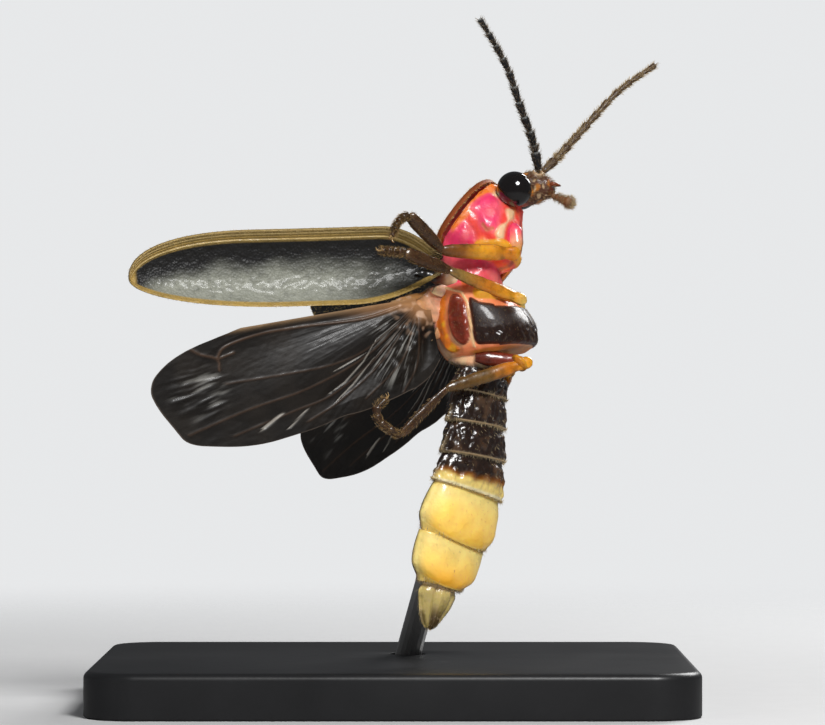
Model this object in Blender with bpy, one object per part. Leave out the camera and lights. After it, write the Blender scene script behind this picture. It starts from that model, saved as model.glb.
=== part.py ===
"""A firefly in flight, life size, as a still model on a small display stand.

The beetle hangs nearly upright with its head up and its belly towards +X, its
right side towards -Y, its wings raised to the left, -X. Each region of the
body (head, prothorax, thorax, each abdomen segment) has its own axes, held by an empty:
x towards the belly, y towards the insect's left, z forward towards the head.
A place in such a frame is written (belly, right, forward).
"""

import math

import bmesh
import bpy
from mathutils import Matrix, Vector
from mathutils.bvhtree import BVHTree

MM = 0.001

# Driving dimensions of the insect, a male 12 mm long from pronotum to elytra tips
JOINT_GAP = 0.15 * MM
FACET_ALLOWANCE = 1.12
MERGE_DISTANCE = 0.001 * MM
THIN_WALL = 0.5 * MM
ELYTRON_LENGTH = 9.6 * MM
ELYTRON_LEAD_WIDTH = 1.43 * MM
ELYTRON_TRAIL_WIDTH = 0.90 * MM
ELYTRON_DOME = 0.50 * MM
HINDWING_THICKNESS = 0.5 * MM
HINDWING_ROOT = 0.55 * MM
VEIN_HEIGHT = 0.11 * MM
EYE_RADIUS = 0.54 * MM
ANTENNA_THICKNESS = 0.46 * MM
LEG_THICKNESS = 0.52 * MM
BONE_TRIM = 0.13 * MM

# Where the middle of the thorax hangs, and how the body is turned
THORAX_CENTRE = Vector((2.7, -2.6, 11.7)) * MM
TAIL_TOWARDS_VIEWER = math.radians(7)
THORAX_TILT, THORAX_TWIST = math.radians(-8), math.radians(22)
PROTHORAX_TILT, PROTHORAX_TWIST = math.radians(38), math.radians(20)
HEAD_TILT, HEAD_TWIST, HEAD_YAW = math.radians(80), math.radians(-4), math.radians(9)
PROTHORAX_FROM_THORAX = Vector((-0.03, 0.3, 2.8)) * MM
HEAD_IN_PROTHORAX = Vector((0.14, 0.0, 1.78)) * MM
ABDOMEN_FROM_THORAX = Vector((-0.10, -0.17, -1.44)) * MM

# The stand
BASE_LENGTH, BASE_WIDTH, BASE_THICKNESS = 18.4 * MM, 14.8 * MM, 1.4 * MM
BASE_CORNER = 1.6 * MM
BASE_CHAMFER = 0.25 * MM
ROD_DIAMETER = 0.8 * MM
ROD_FOOT = (0.45 * MM, 1.5 * MM)
ROD_TARGET = Vector((2.30, -2.9, 8.3)) * MM
ROD_END_GAP = 0.25 * MM
ROD_SEAT_DEPTH = 0.8 * MM


def clear_scene():
    for obj in list(bpy.data.objects):
        bpy.data.objects.remove(obj)


def material(name, colour, roughness, metallic=0.0):
    made = bpy.data.materials.new(name)
    made.use_nodes = True
    shader = made.node_tree.nodes["Principled BSDF"]
    shader.inputs["Base Color"].default_value = (*colour, 1.0)
    shader.inputs["Roughness"].default_value = roughness
    shader.inputs["Metallic"].default_value = metallic
    made.diffuse_color = (*colour, 1.0)
    return made


def axes_empty(name, rotation, place):
    """An empty that carries the parts of one body region."""
    empty = bpy.data.objects.new(name, None)
    empty.matrix_world = Matrix.Translation(place) @ rotation
    bpy.context.collection.objects.link(empty)
    return empty


def turned(tilt, twist):
    """Body axes leaned by tilt in the plane of the picture, with the belly twisted towards the viewer."""
    return (
        Matrix.Rotation(-TAIL_TOWARDS_VIEWER, 4, "X")
        @ Matrix.Rotation(tilt, 4, "Y")
        @ Matrix.Rotation(-twist, 4, "Z")
    )


def local(belly, right, forward):
    """A point of a body frame, given in millimetres."""
    return Vector((belly, -right, forward)) * MM


def mirrored(point, side):
    """The same point on the insect's right (side 1) or left (side -1)."""
    return Vector((point.x, point.y * side, point.z))


def mesh_object(name, vertices, faces, surface, carrier=None, matrix=None, sharp=50):
    mesh = bpy.data.meshes.new(name)
    mesh.from_pydata([tuple(v) for v in vertices], [], faces)
    working = bmesh.new()
    working.from_mesh(mesh)
    bmesh.ops.recalc_face_normals(working, faces=working.faces)
    working.to_mesh(mesh)
    working.free()
    mesh.materials.append(surface)
    mesh.shade_smooth()
    mesh.set_sharp_from_angle(angle=math.radians(sharp))
    obj = bpy.data.objects.new(name, mesh)
    bpy.context.collection.objects.link(obj)
    obj.parent = carrier
    obj.matrix_basis = matrix or Matrix.Identity(4)
    return obj


def loft(rings):
    """Vertices and faces of a closed skin through rings of equal count, with a fan at each end."""
    count = len(rings[0])
    vertices = [point for ring in rings for point in ring]
    faces = []
    for row in range(len(rings) - 1):
        for i in range(count):
            j = (i + 1) % count
            low, high = row * count, (row + 1) * count
            faces.append((low + i, low + j, high + j, high + i))
    for ring, start in ((rings[0], 0), (rings[-1], (len(rings) - 1) * count)):
        middle = len(vertices)
        vertices.append(sum((Vector(p) for p in ring), Vector()) / count)
        faces += [(start + i, start + (i + 1) % count, middle) for i in range(count)]
    return vertices, faces


def section(half_width, belly, back, forward, lean=0.0, centre=0.0, sides=20, power=2.3):
    """One cross-section of the body: a superellipse whose belly and back have their own depth."""
    ring = []
    for i in range(sides):
        angle = 2 * math.pi * i / sides
        across, along = math.sin(angle), math.cos(angle)
        depth = belly if along > 0 else back
        x = centre + depth * math.copysign(abs(along) ** (2 / power), along)
        y = half_width * math.copysign(abs(across) ** (2 / power), across)
        ring.append(Vector((x, y, forward + lean * x)) * MM)
    return ring


def tube(points, thicknesses, sides=8, flatness=1.0, wide_towards=None):
    """Rings round a path. flatness under 1 thins the tube across wide_towards."""
    rings = []
    wide = wide_towards or Vector((0.31, 0.42, 0.85))
    for i, point in enumerate(points):
        ahead = points[min(i + 1, len(points) - 1)]
        behind = points[max(i - 1, 0)]
        along = (ahead - behind).normalized()
        thin = along.cross(wide).normalized()
        broad = thin.cross(along).normalized()
        wide = broad
        radius = thicknesses[i] / 2
        ring = []
        for j in range(sides):
            angle = 2 * math.pi * (j + 0.5) / sides
            ring.append(
                point
                + broad * radius * math.cos(angle)
                + thin * radius * flatness * math.sin(angle)
            )
        rings.append(ring)
    return rings


def smooth_path(corners, steps):
    """Points of a Catmull-Rom curve through the corners, steps to each stretch."""
    ends = [2 * corners[0] - corners[1], *corners, 2 * corners[-1] - corners[-2]]
    points = []
    for a, b, c, d in zip(ends, ends[1:], ends[2:], ends[3:]):
        for step in range(steps):
            t = step / steps
            points.append(
                0.5
                * (
                    2 * b
                    + (c - a) * t
                    + (2 * a - 5 * b + 4 * c - d) * t**2
                    + (3 * b - a - 3 * c + d) * t**3
                )
            )
    return [*points, corners[-1]]


def path_at(points, share):
    """The point that lies at a share of the path's length."""
    lengths = [(b - a).length for a, b in zip(points, points[1:])]
    left = share * sum(lengths)
    for a, b, length in zip(points, points[1:], lengths):
        if left <= length:
            return a.lerp(b, left / length)
        left -= length
    return points[-1]


def sphere(name, radius, surface, carrier, place, squash=1.0, segments=16, rings=10):
    working = bmesh.new()
    bmesh.ops.create_uvsphere(working, u_segments=segments, v_segments=rings, radius=radius)
    for vertex in working.verts:
        vertex.co.y *= squash
    mesh = bpy.data.meshes.new(name)
    working.to_mesh(mesh)
    working.free()
    mesh.materials.append(surface)
    mesh.shade_smooth()
    obj = bpy.data.objects.new(name, mesh)
    bpy.context.collection.objects.link(obj)
    obj.parent = carrier
    obj.matrix_basis = Matrix.Translation(place)
    return obj


def boolean(obj, other, operation):
    """Applies one Boolean and removes the object that it used."""
    bpy.context.view_layer.update()
    modifier = obj.modifiers.new(operation, "BOOLEAN")
    modifier.operation = operation
    modifier.solver = "EXACT"
    modifier.object = other
    evaluated = obj.evaluated_get(bpy.context.evaluated_depsgraph_get())
    mesh = bpy.data.meshes.new_from_object(evaluated)
    mesh.set_sharp_from_angle(angle=math.radians(30))
    obj.modifiers.remove(modifier)
    obj.data = mesh
    bpy.data.objects.remove(other)


def carve(obj, other, clearance=JOINT_GAP):
    """Cuts a socket into obj that keeps clear of its neighbour all round."""
    grown = bpy.data.objects.new("grown", other.data.copy())
    bpy.context.collection.objects.link(grown)
    grown.matrix_world = other.matrix_world
    for vertex, normal in zip(grown.data.vertices, [n.vector.copy() for n in grown.data.vertex_normals]):
        vertex.co += normal * clearance * FACET_ALLOWANCE
    boolean(obj, grown, "DIFFERENCE")
    keep_largest(obj)


def keep_largest(obj):
    """Leaves only the largest closed surface of the object's mesh."""
    working = bmesh.new()
    working.from_mesh(obj.data)
    unseen = set(working.verts)
    groups = []
    while unseen:
        group, edge = set(), [unseen.pop()]
        while edge:
            vertex = edge.pop()
            group.add(vertex)
            linked = {e.other_vert(vertex) for e in vertex.link_edges} & unseen
            unseen -= linked
            edge += linked
        groups.append(group)
    groups.sort(key=len)
    small = [vertex for group in groups[:-1] for vertex in group]
    bmesh.ops.delete(working, geom=small, context="VERTS")
    bmesh.ops.remove_doubles(working, verts=working.verts, dist=MERGE_DISTANCE)
    bmesh.ops.dissolve_degenerate(working, edges=working.edges, dist=MERGE_DISTANCE)
    bmesh.ops.recalc_face_normals(working, faces=working.faces)
    working.to_mesh(obj.data)
    working.free()


def make_thorax(carrier, surfaces):
    """The deep box of flight muscle: a metathorax and a shorter mesothorax in front of it."""
    split = 0.72
    meta = [
        section(0.84, 0.42, 0.70, -1.24, lean=-0.28),
        section(0.98, 0.46, 0.94, -0.98, lean=-0.06),
        section(1.34, 1.34, 1.18, -0.90),
        section(1.46, 1.50, 1.28, -0.74),
        section(1.60, 1.46, 1.44, -0.20),
        section(1.60, 1.22, 1.44, 0.36),
        section(1.50, 0.98, 1.36, split),
    ]
    mesh_object("metathorax", *loft(meta), surfaces["sternum"], carrier)
    gap = JOINT_GAP / MM
    front_lean = -0.42
    meso = [
        section(1.48, 0.96, 1.34, split + gap),
        section(1.38, 0.86, 1.24, 1.08, lean=front_lean * 0.35),
        section(1.16, 0.66, 1.00, 1.30, lean=front_lean * 0.75),
        section(0.90, 0.48, 0.76, 1.38, lean=front_lean),
    ]
    mesh_object("mesothorax", *loft(meso), surfaces["flesh"], carrier)


def make_prothorax(carrier, surfaces):
    """The pink flesh below the pronotum, which carries the forelegs and holds the head."""
    rear_lean, front_lean = 0.42, -0.55
    rings = [
        section(0.62, 0.50, 0.42, -1.22, lean=rear_lean, centre=0.60),
        section(0.80, 0.62, 0.54, -1.12, lean=rear_lean, centre=0.60),
        section(0.96, 0.74, 0.62, -0.62, lean=rear_lean * 0.5, centre=0.62),
        section(1.08, 0.84, 0.66, 0.00, centre=0.62),
        section(1.02, 0.76, 0.66, 0.56, lean=front_lean * 0.4, centre=0.56),
        section(0.82, 0.58, 0.56, 1.06, lean=front_lean * 0.7, centre=0.46),
        section(0.50, 0.34, 0.38, 1.31, lean=front_lean, centre=0.42),
    ]
    mesh_object("prothorax", *loft(rings), surfaces["pink"], carrier)


def pronotum_half_width(forward):
    """Half the width of the pronotum's outline: nearly straight sides and a rounded front."""
    rear, widest, front = -1.22, -0.55, 1.52
    full = 1.66
    if forward < widest:
        return full - 0.34 * ((widest - forward) / (widest - rear)) ** 2
    share = (forward - widest) / (front - widest)
    return full * max(0.0, 1 - share**2.2) ** (1 / 2.0)


def make_pronotum(carrier, surfaces):
    """A domed shield over the head, with a flat rim all round it."""
    rear, front = -1.22, 1.52
    rows, columns = 11, 10
    top, under = [], []
    for row in range(rows):
        share = row / (rows - 1)
        forward = rear + (front - rear) * math.sin(share * math.pi / 2) ** 1.1
        half = max(pronotum_half_width(forward), 0.10)
        for column in range(columns + 1):
            across = math.sin(math.pi * (column / columns - 0.5))
            dome = 0.36 * (1 - across**2) ** 0.8 * (1 - 0.55 * share**2)
            rim = -0.20 - 0.27 * share**1.5 - 0.05 * abs(across) ** 6
            thickness = 0.34 - 0.10 * share**2
            top.append(Vector((rim - dome - thickness / 2, across * half, forward)) * MM)
            under.append(Vector((rim - dome * 0.55 + thickness / 2, across * half, forward)) * MM)
    vertices, faces = sheet_solid(top, under, rows, columns + 1)
    mesh_object("pronotum", vertices, faces, surfaces["pronotum"], carrier)


def sheet_solid(top, under, rows, columns):
    """A closed solid between two grids of equal size, split into triangles alike on both faces."""
    vertices = top + under
    shift = len(top)
    faces = []
    for row in range(rows - 1):
        for column in range(columns - 1):
            a = row * columns + column
            b, c, d = a + 1, a + columns + 1, a + columns
            faces += [(a, b, c), (a, c, d)]
            faces += [(shift + a, shift + c, shift + b), (shift + a, shift + d, shift + c)]
    edge = list(range(columns))
    edge += [row * columns + columns - 1 for row in range(1, rows)]
    edge += [(rows - 1) * columns + column for column in range(columns - 2, -1, -1)]
    edge += [row * columns for row in range(rows - 2, 0, -1)]
    for a, b in zip(edge, edge[1:] + edge[:1]):
        faces.append((a, shift + a, shift + b, b))
    return vertices, faces


def make_head(carrier, surfaces):
    """The small capsule between two huge eyes, with the face, feelers and palps at its front."""
    rings = [
        section(0.34, 0.34, 0.30, -0.52, sides=16),
        section(0.62, 0.46, 0.42, -0.30, sides=16),
        section(0.78, 0.50, 0.46, 0.06, sides=16),
        section(0.66, 0.50, 0.44, 0.42, sides=16),
        section(0.50, 0.44, 0.40, 0.72, sides=16),
        section(0.34, 0.40, 0.28, 0.94, sides=16),
        section(0.20, 0.26, 0.14, 1.02, sides=16),
    ]
    head = mesh_object("head", *loft(rings), surfaces["face"], carrier)
    for name, side in (("right", 1), ("left", -1)):
        place = mirrored(local(0.0, 0.74, -0.08), side)
        socket = sphere("socket", EYE_RADIUS + JOINT_GAP, surfaces["eye"], carrier, place, 0.9)
        boolean(head, socket, "DIFFERENCE")
        sphere(f"eye_{name}", EYE_RADIUS, surfaces["eye"], carrier, place, 0.9)
    keep_largest(head)


def antenna_rings(path):
    """Eleven joints, each swelling towards its far end; the second is the shortest."""
    shares = [1.15, 0.42, 0.95, 1.0, 1.0, 1.0, 1.0, 0.97, 0.94, 0.9, 1.05]
    total = sum(shares)
    points, thicknesses = [], []
    run = 0.0
    for number, share in enumerate(shares):
        fade = 1.0 - 0.045 * number
        for within, swell in ((0.04, 0.72), (0.35, 0.86), (0.80, 1.0), (0.97, 0.86)):
            points.append(path_at(path, (run + share * within) / total))
            thicknesses.append(ANTENNA_THICKNESS * fade * swell)
        run += share
    thicknesses[-1] *= 0.4
    return tube(points, thicknesses, sides=7)


def make_antennae(carrier, surfaces):
    """Feelers of eleven joints; the right leans back towards the viewer, the left leans away."""
    routes = {
        "right": [
            local(-0.48, 0.26, 0.70), local(-1.42, 0.63, 0.71), local(-2.43, 1.16, 0.57),
            local(-3.42, 1.62, 0.48), local(-4.25, 2.10, 0.26), local(-5.08, 2.59, -0.02),
        ],
        "left": [
            local(-0.46, -0.28, 0.78), local(-0.66, -0.52, 1.04), local(-1.17, -1.07, 1.61),
            local(-1.91, -1.75, 2.43), local(-2.68, -2.34, 3.35), local(-3.34, -3.08, 4.55),
        ],
    }
    for name, corners in routes.items():
        rings = antenna_rings(smooth_path(corners, 6))
        mesh_object(f"antenna_{name}", *loft(rings), surfaces["feeler"], carrier)


def make_palps(carrier, surfaces):
    """The pair of jointed palps that hang from the mouth, each with a broad last joint."""
    corners = [local(0.42, 0.24, 1.06), local(0.50, 0.28, 1.20), local(0.60, 0.29, 1.34),
               local(0.70, 0.28, 1.52)]
    thicknesses = [0.30, 0.36, 0.30, 0.42, 0.46, 0.20]
    for name, side in (("right", 1), ("left", -1)):
        path = [mirrored(point, side) for point in corners]
        points = [path_at(path, i / 5) for i in range(6)]
        rings = tube(points, [t * MM for t in thicknesses], sides=8)
        mesh_object(f"palp_{name}", *loft(rings), surfaces["face"], carrier)


def bone(name, start, end, profile, surface, carrier, flatness=1.0, wide_towards=None):
    """One straight leg joint. profile lists (share of the length, share of the leg's thickness)."""
    length = (end - start).length
    trim = BONE_TRIM / length
    points = [start.lerp(end, trim + (1 - 2 * trim) * share) for share, _ in profile]
    thicknesses = [LEG_THICKNESS * size for _, size in profile]
    rings = tube(points, thicknesses, flatness=flatness, wide_towards=wide_towards)
    return mesh_object(name, *loft(rings), surface, carrier)


COXA = ((0.0, 0.8), (0.2, 1.15), (0.6, 1.05), (1.0, 0.55))
FEMUR = ((0.0, 0.5), (0.12, 0.85), (0.35, 1.12), (0.65, 1.05), (0.9, 0.85), (1.0, 0.4))
TIBIA = ((0.0, 0.4), (0.1, 0.85), (0.5, 0.98), (0.9, 1.05), (1.0, 0.6))
TARSUS_JOINTS = 5
HIP_SOCKETS = (("prothorax", "fore"), ("mesothorax", "mid"), ("metathorax", "mid"), ("metathorax", "hind"))
LEFT_SWING = {"fore": local(0.04, 0.36, 0.34), "mid": local(0.12, 0.08, -0.36), "hind": local(0, 0, 0)}

# Each leg on the insect's right: coxa root, trochanter, knee, tibia end, then the foot's way
FORELEG = [
    local(1.18, 0.46, 0.62), local(1.76, 0.46, 0.06),
    local(0.44, 2.06, -1.40), local(-0.76, 3.22, -1.24),
    [local(-0.80, 3.40, -1.62), local(-0.62, 3.52, -2.10)],
]
MIDLEG = [
    local(1.05, 0.72, 0.84), local(1.74, 0.36, 0.36),
    local(0.20, 2.22, 1.42), local(-0.80, 3.50, 2.10),
    [local(-1.16, 3.82, 2.16), local(-1.26, 4.20, 2.18)],
]
HINDLEG = [
    local(0.62, 1.22, -1.26), local(1.52, 0.42, -1.52),
    local(-0.58, 2.36, -2.02), local(-1.90, 3.20, -3.26),
    [local(-2.34, 3.52, -2.84), local(-2.40, 3.58, -2.40), local(-2.16, 3.36, -2.12)],
]


def make_foot(name, start, corners, surface, carrier):
    """Five short joints that shrink to a bent claw."""
    path = smooth_path([start, *corners], 5)
    start_share = 2 * BONE_TRIM / sum((b - a).length for a, b in zip(path, path[1:]))
    points, thicknesses = [], []
    for joint in range(TARSUS_JOINTS):
        size = LEG_THICKNESS * (0.86 - 0.07 * joint)
        for within, swell in ((0.06, 0.66), (0.75, 1.0), (0.94, 0.85)):
            share = start_share + (0.94 - start_share) * (joint + within) / TARSUS_JOINTS
            points.append(path_at(path, share))
            thicknesses.append(size * swell)
    along = (path[-1] - path[-3]).normalized()
    hook = along.cross(Vector((0.3, 0.5, 0.8))).normalized()
    for forward, aside, size in ((0.08, 0.02, 0.20), (0.26, 0.10, 0.10)):
        points.append(path[-1] + (along * forward + hook * aside) * MM)
        thicknesses.append(size * MM)
    mesh_object(name, *loft(tube(points, thicknesses, sides=7)), surface, carrier)


def make_leg(which, side_name, side, plan, carrier, surfaces, swing=Vector()):
    """One leg on either side. swing moves the knee, and what follows it by twice as much."""
    hip, trochanter, knee, ankle = (mirrored(point, side) for point in plan[:4])
    knee += mirrored(swing, side)
    ankle += mirrored(2 * swing, side)
    foot = [mirrored(point + 2 * swing, side) for point in plan[4]]
    name = f"{which}leg_{side_name}"
    coxa = surfaces["hip"] if which == "hind" else surfaces["orange"]
    femur = surfaces["orange"]
    bone(f"{name}_coxa", hip, trochanter, COXA, coxa, carrier)
    bone(f"{name}_femur", trochanter, knee, FEMUR, femur, carrier, 0.78, Vector((0, 0, 1)))
    bone(f"{name}_tibia", knee, ankle, TIBIA, surfaces["shin"], carrier)
    make_foot(f"{name}_tarsus", ankle, foot, surfaces["shin"], carrier)


def make_legs(thorax, prothorax, surfaces):
    """Three pairs; the left legs hang a little apart from each other to clear the left elytron."""
    for pair, plan in (("fore", FORELEG), ("mid", MIDLEG), ("hind", HINDLEG)):
        carrier = prothorax if pair == "fore" else thorax
        make_leg(pair, "right", 1, plan, carrier, surfaces)
        make_leg(pair, "left", -1, plan, carrier, surfaces, LEFT_SWING[pair])


# Segment: name, length, half width in front, half width behind, half depth (mm)
ABDOMEN = [
    ("abdomen_2", 0.74, 1.16, 1.34, 0.88),
    ("abdomen_3", 0.94, 1.32, 1.42, 0.87),
    ("abdomen_4", 0.98, 1.36, 1.46, 0.85),
    ("abdomen_5", 1.02, 1.42, 1.52, 0.82),
    ("lantern_6", 1.58, 1.50, 1.60, 0.77),
    ("lantern_7", 1.42, 1.50, 1.24, 0.68),
    ("abdomen_tip", 1.24, 1.02, 0.20, 0.52),
]
# Tilt and twist of the body, in degrees, at the front of each segment and at the tip
ABDOMEN_TILT = (9, 7, 4, 5, 14, 18, 13, 13)
ABDOMEN_TWIST = (27, 30, 33, 37, 41, 45, 47, 48)


def segment_profile(front_half, rear_half, depth, last):
    """Rings of one segment: (share of its length, half width, half depth, backward pull of the corners)."""
    if last:
        return [
            (0.0, front_half * 0.94, depth * 0.94, 0.0),
            (0.25, front_half, depth, 0.0),
            (0.6, front_half * 0.76, depth * 0.80, 0.0),
            (0.88, front_half * 0.40, depth * 0.44, 0.0),
            (1.0, rear_half, depth * 0.2, 0.0),
        ]
    middle = max((front_half + rear_half) / 2, front_half)
    return [
        (0.0, front_half * 0.90, depth * 0.88, 0.0),
        (0.12, front_half * 0.97, depth * 0.96, 0.0),
        (0.5, middle, depth, 0.0),
        (0.985, rear_half, depth * 0.99, 0.05),
        (1.0, rear_half * 0.92, depth * 0.90, 0.03),
    ]


def abdomen_axes(number, share, place, length):
    """Axes at a share of a segment's length, turned smoothly from its front to its rear."""
    tilt = ABDOMEN_TILT[number] + (ABDOMEN_TILT[number + 1] - ABDOMEN_TILT[number]) * share
    twist = ABDOMEN_TWIST[number] + (ABDOMEN_TWIST[number + 1] - ABDOMEN_TWIST[number]) * share
    middle = (ABDOMEN_TILT[number] + tilt) / 2
    back = turned(math.radians(middle), 0).to_3x3() @ Vector((0, 0, -length * share)) * MM
    return Matrix.Translation(place + back) @ turned(math.radians(tilt), math.radians(twist))


def make_abdomen(surfaces):
    """Seven visible segments behind the waist, two of them the lantern, each turned a little further."""
    place = THORAX_CENTRE + ABDOMEN_FROM_THORAX
    for number, (name, length, front_half, rear_half, depth) in enumerate(ABDOMEN):
        start = abdomen_axes(number, 0.0, place, length)
        carrier = axes_empty(f"{name}_axes", start.to_3x3().to_4x4(), place)
        to_carrier = start.inverted()
        trim = JOINT_GAP / MM / length
        rings = []
        for share, half, deep, pull in segment_profile(front_half, rear_half, depth, name == "abdomen_tip"):
            axes = to_carrier @ abdomen_axes(number, share * (1 - trim), place, length)
            ring = section(half, deep * 0.94, deep * 1.04, 0.0, power=2.1)
            for point in ring:
                across = abs(point.y) / (half * MM)
                point.y *= 1 + 0.05 * across**8
                point.z -= pull * across**6 * MM
            rings.append([axes @ point for point in ring])
        surface = surfaces[name.split("_")[-1] if name == "abdomen_tip" else name.split("_")[0]]
        mesh_object(name, *loft(rings), surface, carrier)
        place = abdomen_axes(number, 1.0, place, length).to_translation()


def wing_matrix(hinge, side, lift, sweep, pitch):
    """Wing axes in the thorax frame: x to the leading edge, y out of the blade, z to the tip."""
    span = Vector((
        -math.cos(sweep) * math.sin(lift),
        -side * math.cos(sweep) * math.cos(lift),
        math.sin(sweep),
    ))
    forward = Vector((0, 0, 1))
    lead = (forward - span * forward.dot(span)).normalized()
    lead = Matrix.Rotation(pitch * side, 3, span) @ lead
    blade = span.cross(lead)
    axes = Matrix((lead, blade, span)).transposed().to_4x4()
    return Matrix.Translation(hinge) @ axes


def elytron_edges(share):
    """How far the leading and trailing edges stand from the hinge line, at a share of the length."""
    shoulder = 1 - (1 - min(share / 0.20, 1.0)) ** 2
    waist = 1 - (1 - min(share / 0.30, 1.0)) ** 2
    lead = max(0.0, (share - 0.60) / 0.40)
    trail = max(0.0, (share - 0.50) / 0.50)
    tip = 0.08 * MM * share**4
    return (
        ELYTRON_LEAD_WIDTH * (0.30 + 0.70 * shoulder) * (1 - lead**2.3) ** (1 / 2.3) + tip,
        -ELYTRON_TRAIL_WIDTH * waist * (1 - trail**2.0) ** (1 / 2.0) + tip,
    )


def row_share(row, rows):
    """Share of the elytron's length at which a row lies; the last four rows crowd into the round tip."""
    if row < rows - 4:
        return 0.002 + 0.994 * row / (rows - 1)
    return 0.994 - 0.15 * ((rows - 1 - row) / 4) ** 1.6


def make_elytron(side_name, side, lift, sweep, carrier, surfaces):
    """A long shallow shell with a thick rim, hollow on the side that lay against the body."""
    rows, columns = 16, 9
    outer, inner = [], []
    for row in range(rows):
        share = row_share(row, rows)
        lead, trail = elytron_edges(share)
        lead = max(lead, trail + 0.2 * MM)
        for column in range(columns):
            across = math.sin(math.pi * (column / (columns - 1) - 0.5))
            x = (lead + trail) / 2 + across * (lead - trail) / 2
            dome = ELYTRON_DOME * (1 - abs(across) ** 2.4) * math.sqrt(max(0.0, 1 - share**6))
            rim = 0.06 * MM * abs(across) ** 8
            z = share * ELYTRON_LENGTH
            outer.append(Vector((x, side * (dome + THIN_WALL / 2 + rim), z)))
            inner.append(Vector((x, side * (dome - THIN_WALL / 2 - rim), z)))
    vertices, faces = sheet_solid(outer, inner, rows, columns)
    hinge = mirrored(local(-0.36, 1.66, 1.58), side)
    matrix = wing_matrix(hinge, side, math.radians(lift), math.radians(sweep), math.radians(-9))
    mesh_object(f"elytron_{side_name}", vertices, faces, surfaces["elytron"], carrier, matrix)


# The hind wing's outline: angle from the span in degrees (towards the trailing edge), reach in mm
HINDWING_REACH = (
    (7.6, 5.4), (9.0, 6.9), (10.6, 7.8), (13.0, 8.65), (16.0, 9.12), (20.0, 9.04), (24.5, 8.84),
    (29.0, 8.70), (31.5, 8.15), (37.0, 7.18), (43.0, 5.92), (51.5, 4.53), (63.0, 3.60), (76.0, 2.95),
    (90.0, 2.45), (99.0, 1.95),
)
HINDWING_VEINS = (8.6, 11.5, 16.5, 21.5, 27.0, 32.5, 39.0, 47.0, 58.0, 74.0)
VEIN_HALF_ANGLE = 1.05


def hindwing_reach(angle):
    for (a, near), (b, far) in zip(HINDWING_REACH, HINDWING_REACH[1:]):
        if angle <= b:
            share = (angle - a) / (b - a)
            return (near + (far - near) * share) * MM
    return HINDWING_REACH[-1][1] * MM


def hindwing_rays():
    """The angles of the fan's rays, with a raised ray on each vein and a low one on either side."""
    first, last = HINDWING_REACH[0][0], HINDWING_REACH[-1][0]
    rays = [(first, 1.0)]
    before_each, after_each = (first + 0.2, *HINDWING_VEINS), (*HINDWING_VEINS[1:], last)
    for before, vein, after in zip(before_each, HINDWING_VEINS, after_each):
        half = min(VEIN_HALF_ANGLE, (vein - before) / 3, (after - vein) / 3) * (1 + vein / 60)
        rays += [(vein - half, 0.0), (vein, 1.0), (vein + half, 0.0)]
    rays += [(88.0, 0.0), (last, 0.3)]
    return rays


def make_hindwing(side_name, side, lift, sweep, carrier, surfaces):
    """A pleated membrane spread like a fan from its root, with its veins raised in both faces."""
    rows = 9
    rays = hindwing_rays()
    top, under = [], []
    for row in range(rows):
        share = row / (rows - 1)
        for number, (angle, raised) in enumerate(rays):
            reach = hindwing_reach(angle)
            distance = HINDWING_ROOT + (reach - HINDWING_ROOT) * share
            turn = math.radians(angle)
            x = -distance * math.sin(turn)
            z = distance * math.cos(turn)
            pleat = 0.10 * MM * math.sin(math.radians(angle * 9)) * math.sin(math.pi * min(share * 1.2, 1))
            droop = -0.35 * MM * (distance / (9 * MM)) ** 2
            half = HINDWING_THICKNESS / 2 + VEIN_HEIGHT * raised * (1 - 0.5 * share)
            top.append(Vector((x, side * (pleat + droop + half), z)))
            under.append(Vector((x, side * (pleat + droop - half), z)))
    vertices, faces = sheet_solid(top, under, rows, len(rays))
    hinge = mirrored(local(-0.86, 1.96, 0.90), side)
    matrix = wing_matrix(hinge, side, math.radians(lift), math.radians(sweep), math.radians(-9))
    mesh_object(f"hindwing_{side_name}", vertices, faces, surfaces["membrane"], carrier, matrix)


def make_wings(thorax, surfaces):
    """Lift and sweep in degrees: the left pair is caught a little later in the beat, a little higher."""
    make_elytron("right", 1, 56, 4.3, thorax, surfaces)
    make_elytron("left", -1, 56, 5.0, thorax, surfaces)
    make_hindwing("right", 1, 53, 4.0, thorax, surfaces)
    make_hindwing("left", -1, 65, 0.0, thorax, surfaces)


def base_outline(inset, height):
    """A rectangle with round corners, drawn in by inset."""
    points = []
    half_x, half_y = BASE_LENGTH / 2 - BASE_CORNER, BASE_WIDTH / 2 - BASE_CORNER
    for corner, (sx, sy) in enumerate(((1, 1), (-1, 1), (-1, -1), (1, -1))):
        for step in range(7):
            angle = math.pi / 2 * (corner + step / 6)
            radius = BASE_CORNER - inset
            points.append(Vector((
                sx * half_x + radius * math.cos(angle),
                sy * half_y + radius * math.sin(angle),
                height,
            )))
    return points


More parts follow.
